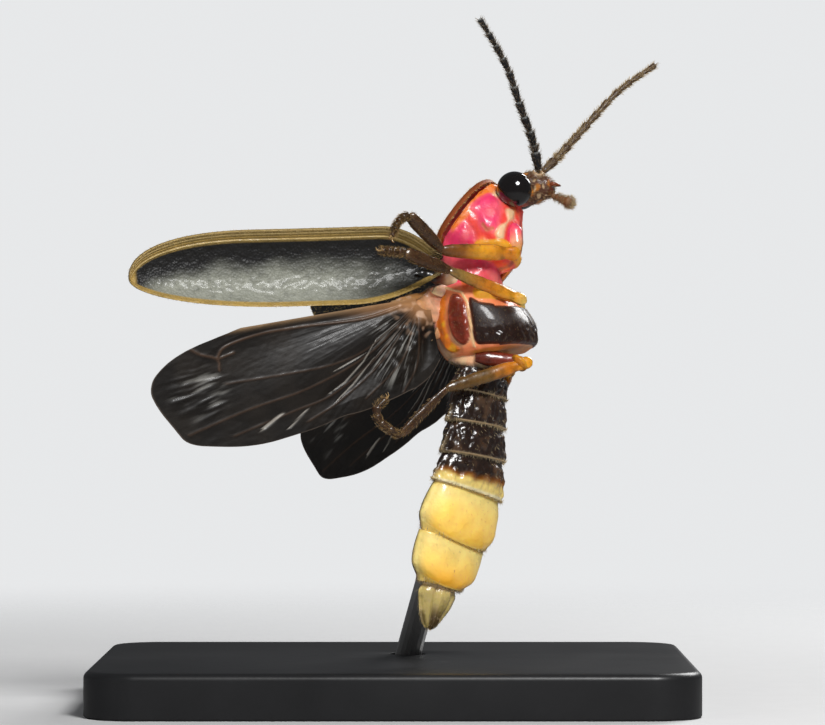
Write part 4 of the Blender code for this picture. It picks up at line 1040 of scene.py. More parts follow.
# %% Palps and jaws
def limb_grid(points, widths, depths, broad, columns=28, power=2.2):
    """Rings swept along a path: widths across it towards broad, depths the other way."""
    points = np.asarray(points, float)
    along = np.gradient(points, axis=0)
    along /= np.linalg.norm(along, axis=1, keepdims=True)
    broad = np.asarray(broad, float)
    thin = np.cross(along, broad)
    thin /= np.linalg.norm(thin, axis=1, keepdims=True)
    wide = np.cross(thin, along)
    turn = 2 * np.pi * np.arange(columns) / columns
    c = np.sign(np.cos(turn)) * np.abs(np.cos(turn)) ** (2 / power)
    s = np.sign(np.sin(turn)) * np.abs(np.sin(turn)) ** (2 / power)
    widths, depths = np.asarray(widths)[:, None, None], np.asarray(depths)[:, None, None]
    aside = wide[:, None] * c[None, :, None] * widths / 2
    return points[:, None] + aside + thin[:, None] * s[None, :, None] * depths / 2


def profile(stops, shares):
    """Values between (share, value) stops, smoothly."""
    xs, ys = np.array(stops, float).T
    fine = smooth_rows(ys[:, None], 12)[:, 0]
    places = np.interp(np.arange(len(fine)) / 12, np.arange(len(xs)), xs)
    return np.interp(shares, places, fine)


PALP_ROUTE = [
    (0.36, 0.20, 0.96), (0.42, 0.26, 1.08), (0.50, 0.29, 1.20), (0.60, 0.29, 1.34), (0.70, 0.28, 1.55),
]
PALP_WIDTH = [(0, 0.14), (0.14, 0.24), (0.22, 0.16), (0.38, 0.28), (0.45, 0.19), (0.58, 0.32), (0.64, 0.22),
              (0.84, 0.44), (0.96, 0.34), (1, 0.06)]
JAW_ROUTE = [(0.02, 0.24, 0.92), (0.02, 0.30, 1.08), (0.06, 0.22, 1.20), (0.10, 0.04, 1.26)]
shares = np.linspace(0, 1, 70)
palp_grids = {}
for name, side in (("right", 1), ("left", -1)):
    path = smooth_path([head.at(b, side * r, f) for b, r, f in PALP_ROUTE], 18)
    path = np.stack([np.interp(shares, np.linspace(0, 1, len(path)), path[:, k]) for k in range(3)], -1)
    width = profile(PALP_WIDTH, shares)
    grid = limb_grid(path, width, width * 0.8, head.rotation[:, 1])
    palp_grids[name] = grid
    tint = np.zeros(grid.shape) + (0.20, 0.09, 0.035)
    tint = blend(tint, CREAM * 0.7, ease(0.16, 0.11, width)[:, None] + 0 * grid[..., 0])
    palp = tube_mesh(f"palps_{name}", grid, {"paint": tint, "gloss": 0.4 + 0 * grid[..., 0]}, head_coat)
    piece(palp, [f"palp_{name}"])

for name, side in (("right", 1), ("left", -1)):
    path = smooth_path([head.at(b, side * r, f) for b, r, f in JAW_ROUTE], 8)
    width = profile([(0, 0.14), (0.4, 0.11), (1, 0.02)], np.linspace(0, 1, len(path)))
    grid = limb_grid(path, width, width * 0.7, head.rotation[:, 0], columns=16)
    tint = np.zeros(grid.shape) + (0.20, 0.045, 0.015)
    jaw = tube_mesh(f"jaw_{name}", grid, {"paint": tint, "gloss": 0.9 + 0 * grid[..., 0]}, head_coat)
    piece(jaw, [])

# %% [markdown]
# ## Legs
#
# Each leg has a hip (coxa), a small joint (trochanter), a thigh (femur), a shin (tibia) and a foot
# (tarsus) of five joints with two claws. In flight the thighs are tucked along the body and the shins
# folded back. Thigh and shin are swept tubes, flat in one direction, with their colour running from
# honey at the hip to dark brown at the knee. The foot's joints repeat along a path, so the same tree
# that built the feelers builds them.

# %% Sizes and places of the legs
# Each width table: share of the length, width in mm
FEMUR_WIDTH = [(0, 0.10), (0.015, 0.32), (0.06, 0.47), (0.12, 0.46), (0.17, 0.40), (0.34, 0.53), (0.62, 0.50),
               (0.86, 0.42), (0.96, 0.30), (1, 0.10)]
TIBIA_WIDTH = [(0, 0.12), (0.06, 0.24), (0.30, 0.38), (0.70, 0.42), (0.94, 0.36), (1, 0.16)]
COXA_WIDTH = [(0, 0.30), (0.25, 0.56), (0.65, 0.48), (0.92, 0.30), (1, 0.12)]
KNOB_WIDTH = [(0, 0.20), (0.25, 0.58), (0.6, 0.60), (0.9, 0.40), (1, 0.12)]
SHIN_STOUTNESS = {"fore": 1.0, "mid": 1.0, "hind": 0.72}
HIP_FLATNESS = {"fore": 0.9, "mid": 0.9, "hind": 0.62}
# Region, then hip, trochanter, knee and ankle, then the foot's corners, how far the left leg swings from
# the right one's pose, and stoutness
LEGS = {
    "fore": (prothorax, [(1.06, 0.46, 0.70), (1.76, 0.46, 0.06), (0.44, 2.06, -1.40), (-0.76, 3.22, -1.24)],
             [(-0.80, 3.40, -1.62), (-0.62, 3.52, -2.10)], (0.04, 0.36, 0.34), 0.94),
    "mid": (thorax, [(0.86, 0.90, 0.86), (1.74, 0.36, 0.36), (0.20, 2.22, 1.42), (-0.80, 3.50, 2.10)],
            [(-1.16, 3.82, 2.16), (-1.26, 4.20, 2.18)], (0.12, 0.08, -0.36), 0.80),
    "hind": (thorax, [(0.06, 1.26, -1.12), (1.46, 0.44, -1.44), (-0.58, 2.36, -2.02), (-1.90, 3.20, -3.26)],
             [(-2.34, 3.52, -2.84), (-2.40, 3.58, -2.40), (-2.16, 3.36, -2.12)], (0.0, 0.0, 0.0), 0.82),
}
# How far hips and knees are drawn in towards the back
TUCKED = {"fore": (0.16, 0, 0), "mid": (0.16, 0, -0.08), "hind": (-0.04, 0, 0)}
LEFT_HIP_TUCK, LEFT_KNEE_TUCK = {"fore": 0.50, "mid": 0.50, "hind": 0.85}, 0.10
THIGH_COLOURS = {
    "fore": [(0, HONEY), (0.12, AMBER), (0.5, HONEY * 0.9), (0.72, (0.30, 0.10, 0.012)),
             (1, (0.085, 0.032, 0.010))],
    "mid": [(0, (0.88, 0.60, 0.16)), (0.16, HONEY * 0.8), (0.5, AMBER * 0.85), (0.82, (0.30, 0.17, 0.035)),
            (1, (0.24, 0.14, 0.05))],
    "hind": [(0, HONEY), (0.25, AMBER), (0.5, (0.17, 0.085, 0.018)), (1, (0.085, 0.045, 0.014))],
}
HIP_COLOURS = {
    "fore": [(0, PINK), (0.35, ROSE), (0.6, (0.95, 0.40, 0.25)), (1, HONEY)],
    "mid": [(0, AMBER), (0.5, HONEY), (1, HONEY)],
    "hind": [(0, RED_BROWN), (0.7, RED_BROWN * 2.2), (1, AMBER)],
}
KNOB_COLOURS = [(0, (0.30, 0.13, 0.02)), (0.4, HONEY * 0.85), (1, AMBER)]
SHIN_DARK = np.array((0.050, 0.022, 0.008))
SHIN_COLOURS = [(0, SHIN_DARK * 2), (0.2, SHIN_DARK), (0.9, SHIN_DARK * 1.3), (1, (0.16, 0.09, 0.04))]
leg_coat = cuticle("leg_cuticle", 0.22, (16000, 0.4, 7000, 0.5), (3600, 0.45), 0.008, 0.6, 0.18)


def colour_run(stops, shares):
    """Colours along a limb, between (share, colour) stops."""
    places = [share for share, colour in stops]
    colours = np.array([colour for share, colour in stops])
    return np.stack([np.interp(shares, places, colours[:, k]) for k in range(3)], -1)


limb_grids = {}


def limb(name, start, end, widths, flatness, broad, colours, bow=0.0, rows=60, gloss=0.85, relief=0.010):
    """One straight or slightly bowed limb joint with its colour along it."""
    shares = np.linspace(0, 1, rows)
    points = start + (end - start) * shares[:, None]
    aside = np.cross(end - start, broad)
    aside /= max(np.linalg.norm(aside), 1e-9)
    points = points + aside * (bow * np.sin(np.pi * shares))[:, None]
    width = profile(widths, shares)
    grid = limb_grid(points, width, width * flatness, broad)
    bumps = relief * lumps(grid, 0.22, 3.0)
    grid = grid + outward(grid) * bumps[..., None]
    limb_grids[name] = grid
    colour = np.repeat(colour_run(colours, shares)[:, None, :], grid.shape[1], 1)
    colour = blend(colour, colour * 0.45, ease(0.1, 0.5, lumps(grid, 0.20, 9.0)) * 0.6)
    around = 2 * np.pi * np.arange(grid.shape[1]) / grid.shape[1]
    edge = ease(0.90, 0.99, np.abs(np.cos(around)))[None, :] + 0 * bumps
    colour = blend(colour, colour * 0.30, edge * 0.7)
    return tube_mesh(name, grid, {"paint": np.clip(colour, 0, 1), "gloss": gloss + 0 * bumps}, leg_coat)


# %% Thighs, shins and hips
FOOT_PROFILE = [
    (-0.12, 0.10, 0.3), (-0.06, 0.26, 0.2), (0.10, 0.36, 0.0), (0.45, 0.42, 0.0), (0.75, 0.52, 0.0),
    (0.92, 0.56, 0.1), (1.02, 0.48, 0.4), (1.07, 0.32, 0.4), (1.08, 0.10, 0.4),
]
FOOT_LENGTHS, FOOT_THICKNESS = (1.3, 1.0, 0.85, 0.8, 1.15), 0.28
FOOT_STOUTNESS = np.array((1.0, 0.95, 0.95, 1.05, 0.62))
# A claw's corners: ahead of the foot's end, aside and bent down (mm)
CLAW_ROUTE = [(-0.03, 0.0, 0.0), (0.08, 0.06, 0.0), (0.15, 0.09, 0.03), (0.18, 0.09, 0.11)]
foot_joint = joint_mesh("foot_joint", FOOT_PROFILE, leg_coat, SHIN_DARK * 0.9, (0.16, 0.10, 0.05))
foot_tree = joint_tree("joints_along_foot", leg_coat)
foot_lines = {}
for which, (region, corners, foot, swing, stoutness) in LEGS.items():
    for side_name, side in (("right", 1), ("left", -1)):
        moved = np.array(corners) + (0 if side > 0 else np.outer((0, 0, 1, 2), swing))
        moved[:2] -= TUCKED[which] if side > 0 else (LEFT_HIP_TUCK[which], 0, 0)
        moved[2] -= TUCKED[which] if side > 0 else (LEFT_KNEE_TUCK, 0, 0)
        toes = np.array(foot) + (0 if side > 0 else 2 * np.array(swing))
        hip, trochanter, knee, ankle = (region.at(b, side * r, f) for b, r, f in moved)
        name = f"{which}leg_{side_name}"
        up = region.rotation[:, 2]
        outer = region.rotation[:, 1] * -side
        hip_size = [(share, wide * stoutness) for share, wide in COXA_WIDTH]
        thigh_size = [(share, wide * stoutness) for share, wide in FEMUR_WIDTH]
        shin_size = [(share, wide * SHIN_STOUTNESS[which]) for share, wide in TIBIA_WIDTH]
        coxa = limb(f"{name}_hip", hip, trochanter, hip_size, HIP_FLATNESS[which], up,
                    HIP_COLOURS[which], 0.02)
        piece(coxa, [f"{name}_coxa"])
        along = (knee - trochanter) / np.linalg.norm(knee - trochanter)
        femur = limb(f"{name}_thigh", trochanter - along * 0.10, knee + along * 0.05, thigh_size, 0.62, up,
                     THIGH_COLOURS[which], 0.03 * side)
        piece(femur, [f"{name}_femur"])
        if which == "hind":
            near_hip = trochanter + (hip - trochanter) * 0.16
            knob = limb(f"{name}_knob", near_hip, trochanter + (knee - trochanter) * 0.15, KNOB_WIDTH, 0.85,
                        up, KNOB_COLOURS, 0, 40, 0.8, 0.04)
            piece(knob, [])
        along = (ankle - knee) / np.linalg.norm(ankle - knee)
        tibia = limb(f"{name}_shin", knee - along * 0.08, ankle, shin_size, 0.5, up + outer * 0.3,
                     SHIN_COLOURS, 0.02)
        piece(tibia, [f"{name}_tibia"])
        path = smooth_path([ankle, *[region.at(b, side * r, f) for b, r, f in toes]], 10)
        starts, ends = split_path(path, FOOT_LENGTHS)
        foot_lines[name] = np.vstack([starts, ends[-1:]])
        carrier = stations(f"foot_points_{name}", starts, ends - starts, FOOT_STOUTNESS)
        sizes = {"Joint": foot_joint, "Thickness": FOOT_THICKNESS * MM}
        tarsus = run_tree(f"{name}_foot", carrier, foot_tree, sizes)
        piece(tarsus, [f"{name}_tarsus"])
        tip = ends[-1]
        ahead = (ends[-1] - starts[-1]) / np.linalg.norm(ends[-1] - starts[-1])
        apart = np.cross(ahead, up)
        apart /= np.linalg.norm(apart)
        bend = np.cross(apart, ahead)
        for claw_name, way in (("a", 1), ("b", -1)):
            route = [tip + ahead * on + apart * way * aside + bend * down for on, aside, down in CLAW_ROUTE]
            claw_path = smooth_path(route, 5)
            width = np.linspace(0.075, 0.012, len(claw_path))
            grid = limb_grid(claw_path, width, width, up, columns=12)
            tint = np.zeros(grid.shape) + (0.36, 0.22, 0.09)
            finish = {"paint": tint, "gloss": 0.8 + 0 * grid[..., 0]}
            claw = tube_mesh(f"{name}_claw_{claw_name}", grid, finish, leg_coat)
            piece(claw, [])

# %% [markdown]
# ## Wing cases
#
# The front wings of a beetle are hard cases. In flight they are held up and out of the way, and from
# this side the near one shows its hollow inner face: a straw-coloured rim with fine ridges along the
# leading edge, a thin rim behind, and between them a dark, finely wrinkled panel that shines like silk.
# The pale silvery colour towards the panel's rear edge is a painted sheen, and in the rim the grooves
# between the ridges carry painted shade and the ridges' crests a painted highlight.
# Each case is a thin curved shell, drawn row by row from the hinge to the tip.

# %% Axes of a wing
class Blade:
    """Axes of a wing: back from the leading edge, up out of the upper face, and out to the tip."""

    def __init__(self, hinge, side, lift, sweep, pitch=-9):
        lift, sweep = math.radians(lift), math.radians(sweep)
        span = np.array((
            -math.cos(sweep) * math.sin(lift), -side * math.cos(sweep) * math.cos(lift), math.sin(sweep)
        ))
        lead = np.array((0, 0, 1.0)) - span * span[2]
        lead /= np.linalg.norm(lead)
        lead = np.array(Matrix.Rotation(math.radians(pitch * side), 3, Vector(span)) @ Vector(lead))
        own = np.stack([lead, np.cross(span, lead) * side, span], 1)
        self.rotation = thorax.rotation @ own
        self.place = thorax.at(hinge[0], side * hinge[1], hinge[2])

    def at(self, back, up, out):
        """World place of points given as distances back, up and out to the tip."""
        own = np.stack(np.broadcast_arrays(np.negative(back), up, out), -1)
        return own @ self.rotation.T + self.place


def ridge(distance, place, width):
    """1 on a line at a distance and falling to 0 on both sides of it."""
    return np.exp(-(((distance - place) / width) ** 2))


# %% Wing cases
# Length, reach of the blade before and behind its span, and height of its dome (mm)
ELYTRON_LENGTH, LEAD_REACH, TRAIL_REACH, DOME = 9.6, 1.43, 0.90, 0.50
COMBS, COMB_WIDTH = (0.05, 0.14, 0.31), 0.028
PAINTED_SILK_SHEEN = (0.40, 0.41, 0.335)
elytron_coat = cuticle("elytron_cuticle", 0.40, (13000, 0.6, 6000, 1.0), (3000, 0.30), 0.034, 0.15, 0.0)
blades, case_faces = {}, {}
for side_name, side, sweep in (("right", 1, 4.3), ("left", -1, 5.0)):
    blade = Blade((-0.36, 1.66, 1.58), side, 56, sweep)
    blades["elytron_" + side_name] = blade
    share = 0.002 + 0.9975 * np.sin(np.linspace(0, np.pi / 2, 190)[:, None]) ** 1.05
    across = np.sin(np.pi * (np.linspace(0, 1, 131) - 0.5))[None, :]
    shoulder = 1 - (1 - np.minimum(share / 0.20, 1)) ** 2
    waist = 1 - (1 - np.minimum(share / 0.30, 1)) ** 2
    tip = 0.08 * share**4
    lead_round = (1 - np.maximum(0, (share - 0.60) / 0.40) ** 2.3) ** (1 / 2.3)
    lead = LEAD_REACH * (0.30 + 0.70 * shoulder) * lead_round + tip
    trail = -TRAIL_REACH * waist * (1 - np.maximum(0, (share - 0.50) / 0.50) ** 2) ** 0.5 + tip
    lead = np.maximum(lead, trail + 0.08)
    chord = (lead + trail) / 2 + across * (lead - trail) / 2
    out = share * ELYTRON_LENGTH + 0 * chord
    from_lead, from_trail = lead - chord, chord - trail
    to_tip = (1 - share) * ELYTRON_LENGTH
    dome = DOME * (1 - np.abs(across) ** 2.4) * np.sqrt(np.maximum(1 - share**6, 0))
    middle = blade.at(-chord, dome, out)
    wide, small = lumps(middle, 0.8, 1.0), lumps(middle, 0.16, 5.0)
    half = 0.045 + 0.03 * ease(0.16, 0.0, np.minimum(from_lead, from_trail))
    rims = ease(0.35, 0.28, from_lead)
    combs = sum(ridge(from_lead, place, COMB_WIDTH) for place in COMBS) + 0.6 * ridge(from_lead, 0.22, 0.02)
    inner = half + 0.045 * combs + 0.035 * ridge(from_trail, 0.06, 0.05) + 0.022 * small * (1 - rims)
    outer = half + 0.012 * small + 0.05 * ridge(from_lead, 0.06, 0.07) + 0.03 * ridge(from_lead, 0.95, 0.10)
    top = blade.at(-chord, dome + outer, out)
    under = blade.at(-chord, dome - inner, out)

    dark = np.zeros(top.shape) + SHELL_BLACK
    straw = STRAW * 0.62 * (1.0 + 0.15 * wide + 0.12 * small)[..., None]
    upper = blend(dark, straw, np.maximum(ease(0.26, 0.20, from_lead), ease(0.13, 0.09, from_trail)))
    # A pale silvery colour painted towards the panel's rear edge: a painted sheen where light shines off the
    # hollow face.
    painted_sheen_mask = ease(0.80, 1.45, from_lead + 0.2 * wide) * ease(0.04, 0.45, share) * 0.7
    lower = blend(dark * 1.2, PAINTED_SILK_SHEEN, painted_sheen_mask)
    lower = blend(lower, dark * 0.7, ease(0.1, 0.6, small) * 0.25)
    bands = np.maximum(ease(0.40, 0.34, from_lead), ease(0.17, 0.12, from_trail))
    bands = np.maximum(bands, ease(0.30, 0.16, to_tip)) * ease(0.015, 0.05, share)
    lower = blend(lower, straw, bands)
    # Painted shade in the grooves between the ridges of the rim, and a painted highlight on the ridges'
    # crests.
    lower = blend(lower, straw * 0.45, bands * ease(0.5, 0.0, combs) * ease(0.36, 0.30, from_lead) * 0.8)
    lower = blend(lower, (0.80, 0.64, 0.32), bands * ease(0.6, 1.0, combs) * 0.6)
    shine = 0.75 + 0 * chord
    case_faces[side_name] = (top, under, ease(0.22, 0.0, np.minimum(from_lead, from_trail + 0.08)))
    case = shell_mesh(
        f"elytron_case_{side_name}", top, under,
        {"paint": (np.clip(upper, 0, 1), np.clip(lower, 0, 1)), "gloss": (shine, shine)}, elytron_coat,
    )
    piece(case, [f"elytron_{side_name}"])

# %% [markdown]
# ## Flying wings
#
# The hind wings do the flying. Each is a membrane thinner than paper, stiffened by a few tubes called
# veins and creased where it folds away under its case. It is drawn as a fan of rays from the root.
# Veins and creases are lines on the blade, so the distance to a line sets both relief and colour. The
# pale colour of the creases is a painted glint, and the silvery streaks in the crumpled patches are a
# painted sheen.

# %% Lines of the hind wing
# Outline: angle from the span in degrees, towards the rear edge, and reach in millimetres
HINDWING_REACH = np.array((
    (7.6, 5.4), (9.0, 6.9), (10.6, 7.8), (13.0, 8.65), (16.0, 9.12), (20.0, 9.04), (24.5, 8.84), (29.0, 8.70),
    (31.5, 8.15), (37.0, 7.18), (43.0, 5.92), (51.5, 4.53), (63.0, 3.60), (76.0, 2.95), (90.0, 2.45),
    (99.0, 1.95),
))
FIRST_RAY, RAY_SPREAD, ROOT_RADIUS = 7.6, 91.4, 0.42
PLEATS_PER_TURN = 9
# Each line: strength, width in mm, then its corners as (back from the leading edge, out from the root)
VEINS = [
    (1.0, 0.055, [(0.28, 0.86), (0.62, 2.04), (0.79, 3.85), (0.98, 5.26), (1.32, 6.35), (1.65, 6.62)]),
    (0.5, 0.045, [(0.35, 0.51), (1.47, 1.87), (1.96, 3.05), (2.21, 4.60), (2.43, 6.39)]),
    (0.6, 0.045, [(0.42, 0.51), (1.71, 1.94), (2.65, 3.84), (3.20, 5.65), (3.92, 7.58)]),
    (0.5, 0.045, [(0.45, 0.48), (1.79, 1.66), (2.86, 3.08), (3.34, 4.38), (3.99, 6.18)]),
    (0.5, 0.045, [(0.51, 0.48), (1.92, 1.50), (3.03, 2.83), (3.64, 3.87)]),
    (0.5, 0.040, [(0.58, 0.42), (1.94, 0.92), (3.02, 2.05)]),
    (0.5, 0.040, [(0.58, 0.36), (1.96, 0.40), (2.88, 0.88)]),
    (0.9, 0.050, [(1.31, 7.55), (1.54, 7.12), (1.69, 6.62), (2.02, 6.56)]),
    (0.9, 0.050, [(1.69, 6.62), (1.51, 6.10)]),
]
FOLDS = [
    [(1.19, 1.64), (1.90, 2.08), (2.50, 2.68), (2.88, 3.27)], [(1.78, 1.72), (2.57, 2.42), (3.17, 3.09)],
    [(3.36, 4.63), (3.95, 5.42)], [(3.18, 3.80), (3.87, 4.52)], [(3.28, 4.60), (3.80, 5.30)],
    [(1.65, 2.01), (2.18, 3.06)],
]
membrane = cuticle("wing_membrane", 0.36, (12000, 0.15, 6500, 0.6), (1800, 0.35), 0.006, 0.08, 0.0)
membrane_shader = membrane.node_tree.nodes["Principled BSDF"]
membrane_shader.inputs["Specular IOR Level"].default_value = 0.28
clearness = place_node(membrane.node_tree, "ShaderNodeAttribute", {"attribute_name": "opacity"})
membrane.node_tree.links.new(clearness.outputs["Fac"], membrane_shader.inputs["Alpha"])

# %% Hind wings
for side_name, side, lift, sweep in (("right", 1, 53, 4.0), ("left", -1, 65, 0.0)):
    blade = Blade((-0.86, 1.96, 0.90), side, lift, sweep)
    blades["hindwing_" + side_name] = blade
    angle = FIRST_RAY + RAY_SPREAD * np.linspace(0, 1, 250)[None, :] ** 1.4
    share = np.linspace(0, 1, 150)[:, None]
    rounding = [np.interp(angle + shift, *HINDWING_REACH.T) for shift in (-1.6, -0.8, 0, 0.8, 1.6)]
    wave = np.sin(np.radians(angle * PLEATS_PER_TURN))
    reach = np.mean(rounding, axis=0) - 0.04 * np.abs(wave) * ease(32, 38, angle)
    distance = ROOT_RADIUS + (reach - ROOT_RADIUS) * share
    turn = np.radians(angle)
    back, out = distance * np.sin(turn), distance * np.cos(turn)
    pleat = 0.10 * wave * np.sin(np.pi * np.minimum(share * 1.2, 1))
    level = pleat - 0.35 * (distance / 9) ** 2
    flat = blade.at(back, 0 * back, out)
    wide, small = lumps(flat, 0.9, 3.0), lumps(flat, 0.14, 8.0)
    veins = np.zeros(back.shape)
    for strength, width, line in VEINS:
        route = smooth_path([(*corner, 0) for corner in line], 5)[:, :2].tolist()
        veins = np.maximum(veins, strength * np.exp(-((near_line(back, out, route) / (width * 0.7)) ** 2)))
    folds = np.zeros(back.shape)
    for line in FOLDS:
        (ax, az), (bx, bz) = line[0], line[-1]
        run = ((back - ax) * (bx - ax) + (out - az) * (bz - az)) / ((bx - ax) ** 2 + (bz - az) ** 2)
        narrow = 0.005 + 0.013 * ease(-0.02, 0.4, run) * ease(1.02, 0.7, run)
        folds = np.maximum(folds, np.exp(-((near_line(back, out, line) / narrow) ** 2)))
    edge = np.radians(angle - FIRST_RAY) * distance
    costa = np.exp(-((edge / 0.09) ** 2)) * ease(7.9, 6.6, out)
    hem = ease(0.05, 0.02, (1 - share) * reach)
    rucked = np.maximum(ease(0.9, 0.4, np.hypot((back - 2.7) / 1.1, (out - 7.2) / 1.3)),
                        ease(1.1, 0.6, np.hypot((back - 1.6) / 1.2, (out - 1.1) / 0.9)))
    streaks = lumps(np.stack([angle * 0.55 + 0 * back, distance * 0.9, 0 * back], -1), 1.0, 2.0)
    streaks += 0.5 * lumps(np.stack([angle * 1.4 + 0 * back, distance * 1.6, 0 * back], -1), 1.0, 6.0)
    calm = ease(1.0, 3.5, distance)
    crumple = streaks * calm + 1.2 * lumps(flat, 0.22, 3.0) * (1 - calm)
    level = level + 0.03 * folds + 0.050 * rucked * crumple
    level = level + 0.004 * small + 0.005 * streaks * calm
    half = 0.012 + 0.022 * veins + 0.05 * costa
    top, under = blade.at(back, level + half, out), blade.at(back, level - half, out)
    paint = np.zeros(back.shape + (3,)) + SMOKE * 0.15
    paint = blend(paint, (0.018, 0.013, 0.009), ease(-0.5, 0.6, wide) * 0.6)
    # Silvery streaks in the crumpled patches: a painted sheen of light on the crinkled membrane.
    paint = blend(paint, (0.30, 0.29, 0.265), rucked * ease(0.10, 0.55, streaks) * 0.7)
    paint = blend(paint, (0.105, 0.058, 0.034), np.clip(veins, 0, 1) * 0.7)
    # Pale lines along the creases: painted glints where light catches each fold.
    paint = blend(paint, (0.50, 0.46, 0.40), folds * 0.7)
    paint = blend(paint, (0.36, 0.225, 0.12), costa * 0.9)
    paint = blend(paint, (0.16, 0.12, 0.09), hem * 0.5)
    paint = blend(paint, (0.36, 0.17, 0.07), ease(1.05, 0.45, distance) * 0.9)
    paint = blend(paint, (0.40, 0.19, 0.07), ease(3.2, 0.8, distance) * ease(0.45, 0.10, edge) * 0.7)
    root_clouds = ease(1.5, 0.6, distance) * ease(0.1, 0.6, lumps(flat, 0.18, 2.0))
    paint = blend(paint, (0.62, 0.38, 0.24), root_clouds * 0.8)
    clear = 0.94 + 0.06 * np.clip(veins + costa + folds + ease(1.6, 0.9, distance), 0, 1)
    sheen = 0.8 + 0 * back
    wing = shell_mesh(
        f"hindwing_blade_{side_name}", top, under,
        {"paint": (paint, paint), "gloss": (sheen, sheen), "opacity": (clear, clear)}, membrane, 80,
    )
    piece(wing, [f"hindwing_{side_name}"])

# %% [markdown]
# At its root each wing hangs on small hardened plates in a soft skin that is drawn out from the body
# like a tent. The near ones show between wing and body: cream and rose skin, a dark stalk under the
# case, a tan one in front of the hind wing.

# %% Wing roots
for side_name, side in (("right", 1), ("left", -1)):
    case_blade, fly_blade = blades["elytron_" + side_name], blades["hindwing_" + side_name]
    ahead = thorax.rotation[:, 2]
    # Name, start on the body, end on the wing, flatness, widths and colours
    roots = [
        ("case_stalk", thorax.at(-0.20, side * 0.95, 1.40), case_blade.at(0.00, 0.22, 0.85), 0.7,
         [(0, 0.80), (0.45, 0.56), (0.8, 0.34), (1, 0.06)],
         [(0, CREAM), (0.40, AMBER_DEEP * 0.4), (0.6, SHELL_BLACK)]),
        ("case_skin", thorax.at(-0.40, side * 1.00, 1.15), case_blade.at(0.62, 0.10, 0.35), 0.6,
         [(0, 0.70), (0.5, 0.42), (0.85, 0.26), (1, 0.05)],
         [(0, (0.92, 0.22, 0.20)), (0.5, (0.92, 0.52, 0.36)), (1, CREAM)]),
        ("wing_skin", thorax.at(-0.62, side * 0.85, 0.72), fly_blade.at(0.42, 0.02, 0.62), 0.35,
         [(0, 1.35), (0.35, 1.20), (0.65, 0.70), (0.9, 0.34), (1, 0.05)],
         [(0, (0.92, 0.22, 0.14)), (0.45, (0.92, 0.48, 0.28)), (0.7, (0.70, 0.34, 0.14)),
          (1, (0.30, 0.16, 0.08))]),
        ("wing_stalk", thorax.at(-0.60, side * 0.95, 1.05), fly_blade.at(0.14, 0.05, 1.15), 0.7,
         [(0, 0.50), (0.4, 0.34), (0.8, 0.20), (1, 0.05)],
         [(0, PEACH), (0.5, (0.66, 0.32, 0.10)), (1, (0.34, 0.20, 0.10))]),
        ("wing_hem", thorax.at(-0.80, side * 0.90, 0.05), fly_blade.at(1.35, 0.0, -0.06), 0.5,
         [(0, 0.70), (0.4, 0.42), (0.8, 0.14), (1, 0.03)],
         [(0, (0.92, 0.44, 0.28)), (0.5, (0.66, 0.34, 0.16)), (1, (0.20, 0.12, 0.06))]),
    ]
    for root_name, start, end, thin, widths, colours in roots:
        made = limb(f"{root_name}_{side_name}", start, end, widths, thin, ahead, colours, 0.04, 50, 0.7, 0.05)
        piece(made, [])

# %% [markdown]
# ## Hairs
#
# Close up, an insect is hairy: golden bristles stand on the legs, feelers and palps, and a pale down
# fringes the shell's edges. One hair is a thin three-sided cone. Random places are drawn on each grid,
# more of them where a mask is high, and the joint tree from the feelers sets a hair at each. Every hair
# also gets a small patch on a UV map, at its root's place on the grid laid flat.

# %% Places for hairs
HAIR_SIDES = 3
HAIR_PROFILE = [(0.0, 0.5, 0.0), (0.55, 0.32, 0.4), (1.0, 0.03, 1.0)]
HAIR_POINTS = HAIR_SIDES * len(HAIR_PROFILE) + 2
PATCH, MAP_MARGIN = 0.003, 0.004
HAIR_SINK, HAIR_SCATTER = 0.012, 0.22


def roots_on(grid, count, seed, wanted=None, closed=True, away_from=None):
    """Random places on a grid: points, normals, ways along the rows, and places on the flat map."""
    random = np.random.default_rng(seed)
    beside = np.roll(grid, -1, 1) if closed else np.concatenate([grid[:, 1:], grid[:, -1:]], 1)
    over, across = grid[1:] - grid[:-1], (beside - grid)[:-1]
    area = np.linalg.norm(np.cross(over, across), axis=-1)
    if wanted is not None:
        area = area * wanted[:-1]
    chosen = random.choice(area.size, count, p=(area / area.sum()).ravel())
    row, column = np.unravel_index(chosen, area.shape)
    up, along = random.random((2, count))
    points = grid[row, column] + over[row, column] * up[:, None] + across[row, column] * along[:, None]
    normals = outward(grid, closed)
    if away_from is not None and (normals * (grid - away_from)).sum() < 0:
        normals = -normals
    ways = over[row, column]
    ways = ways / np.maximum(np.linalg.norm(ways, axis=1, keepdims=True), 1e-9)
    places = np.stack([(column + along) / grid.shape[1], (row + up) / grid.shape[0]], -1)
    return points, normals[row, column], ways, places


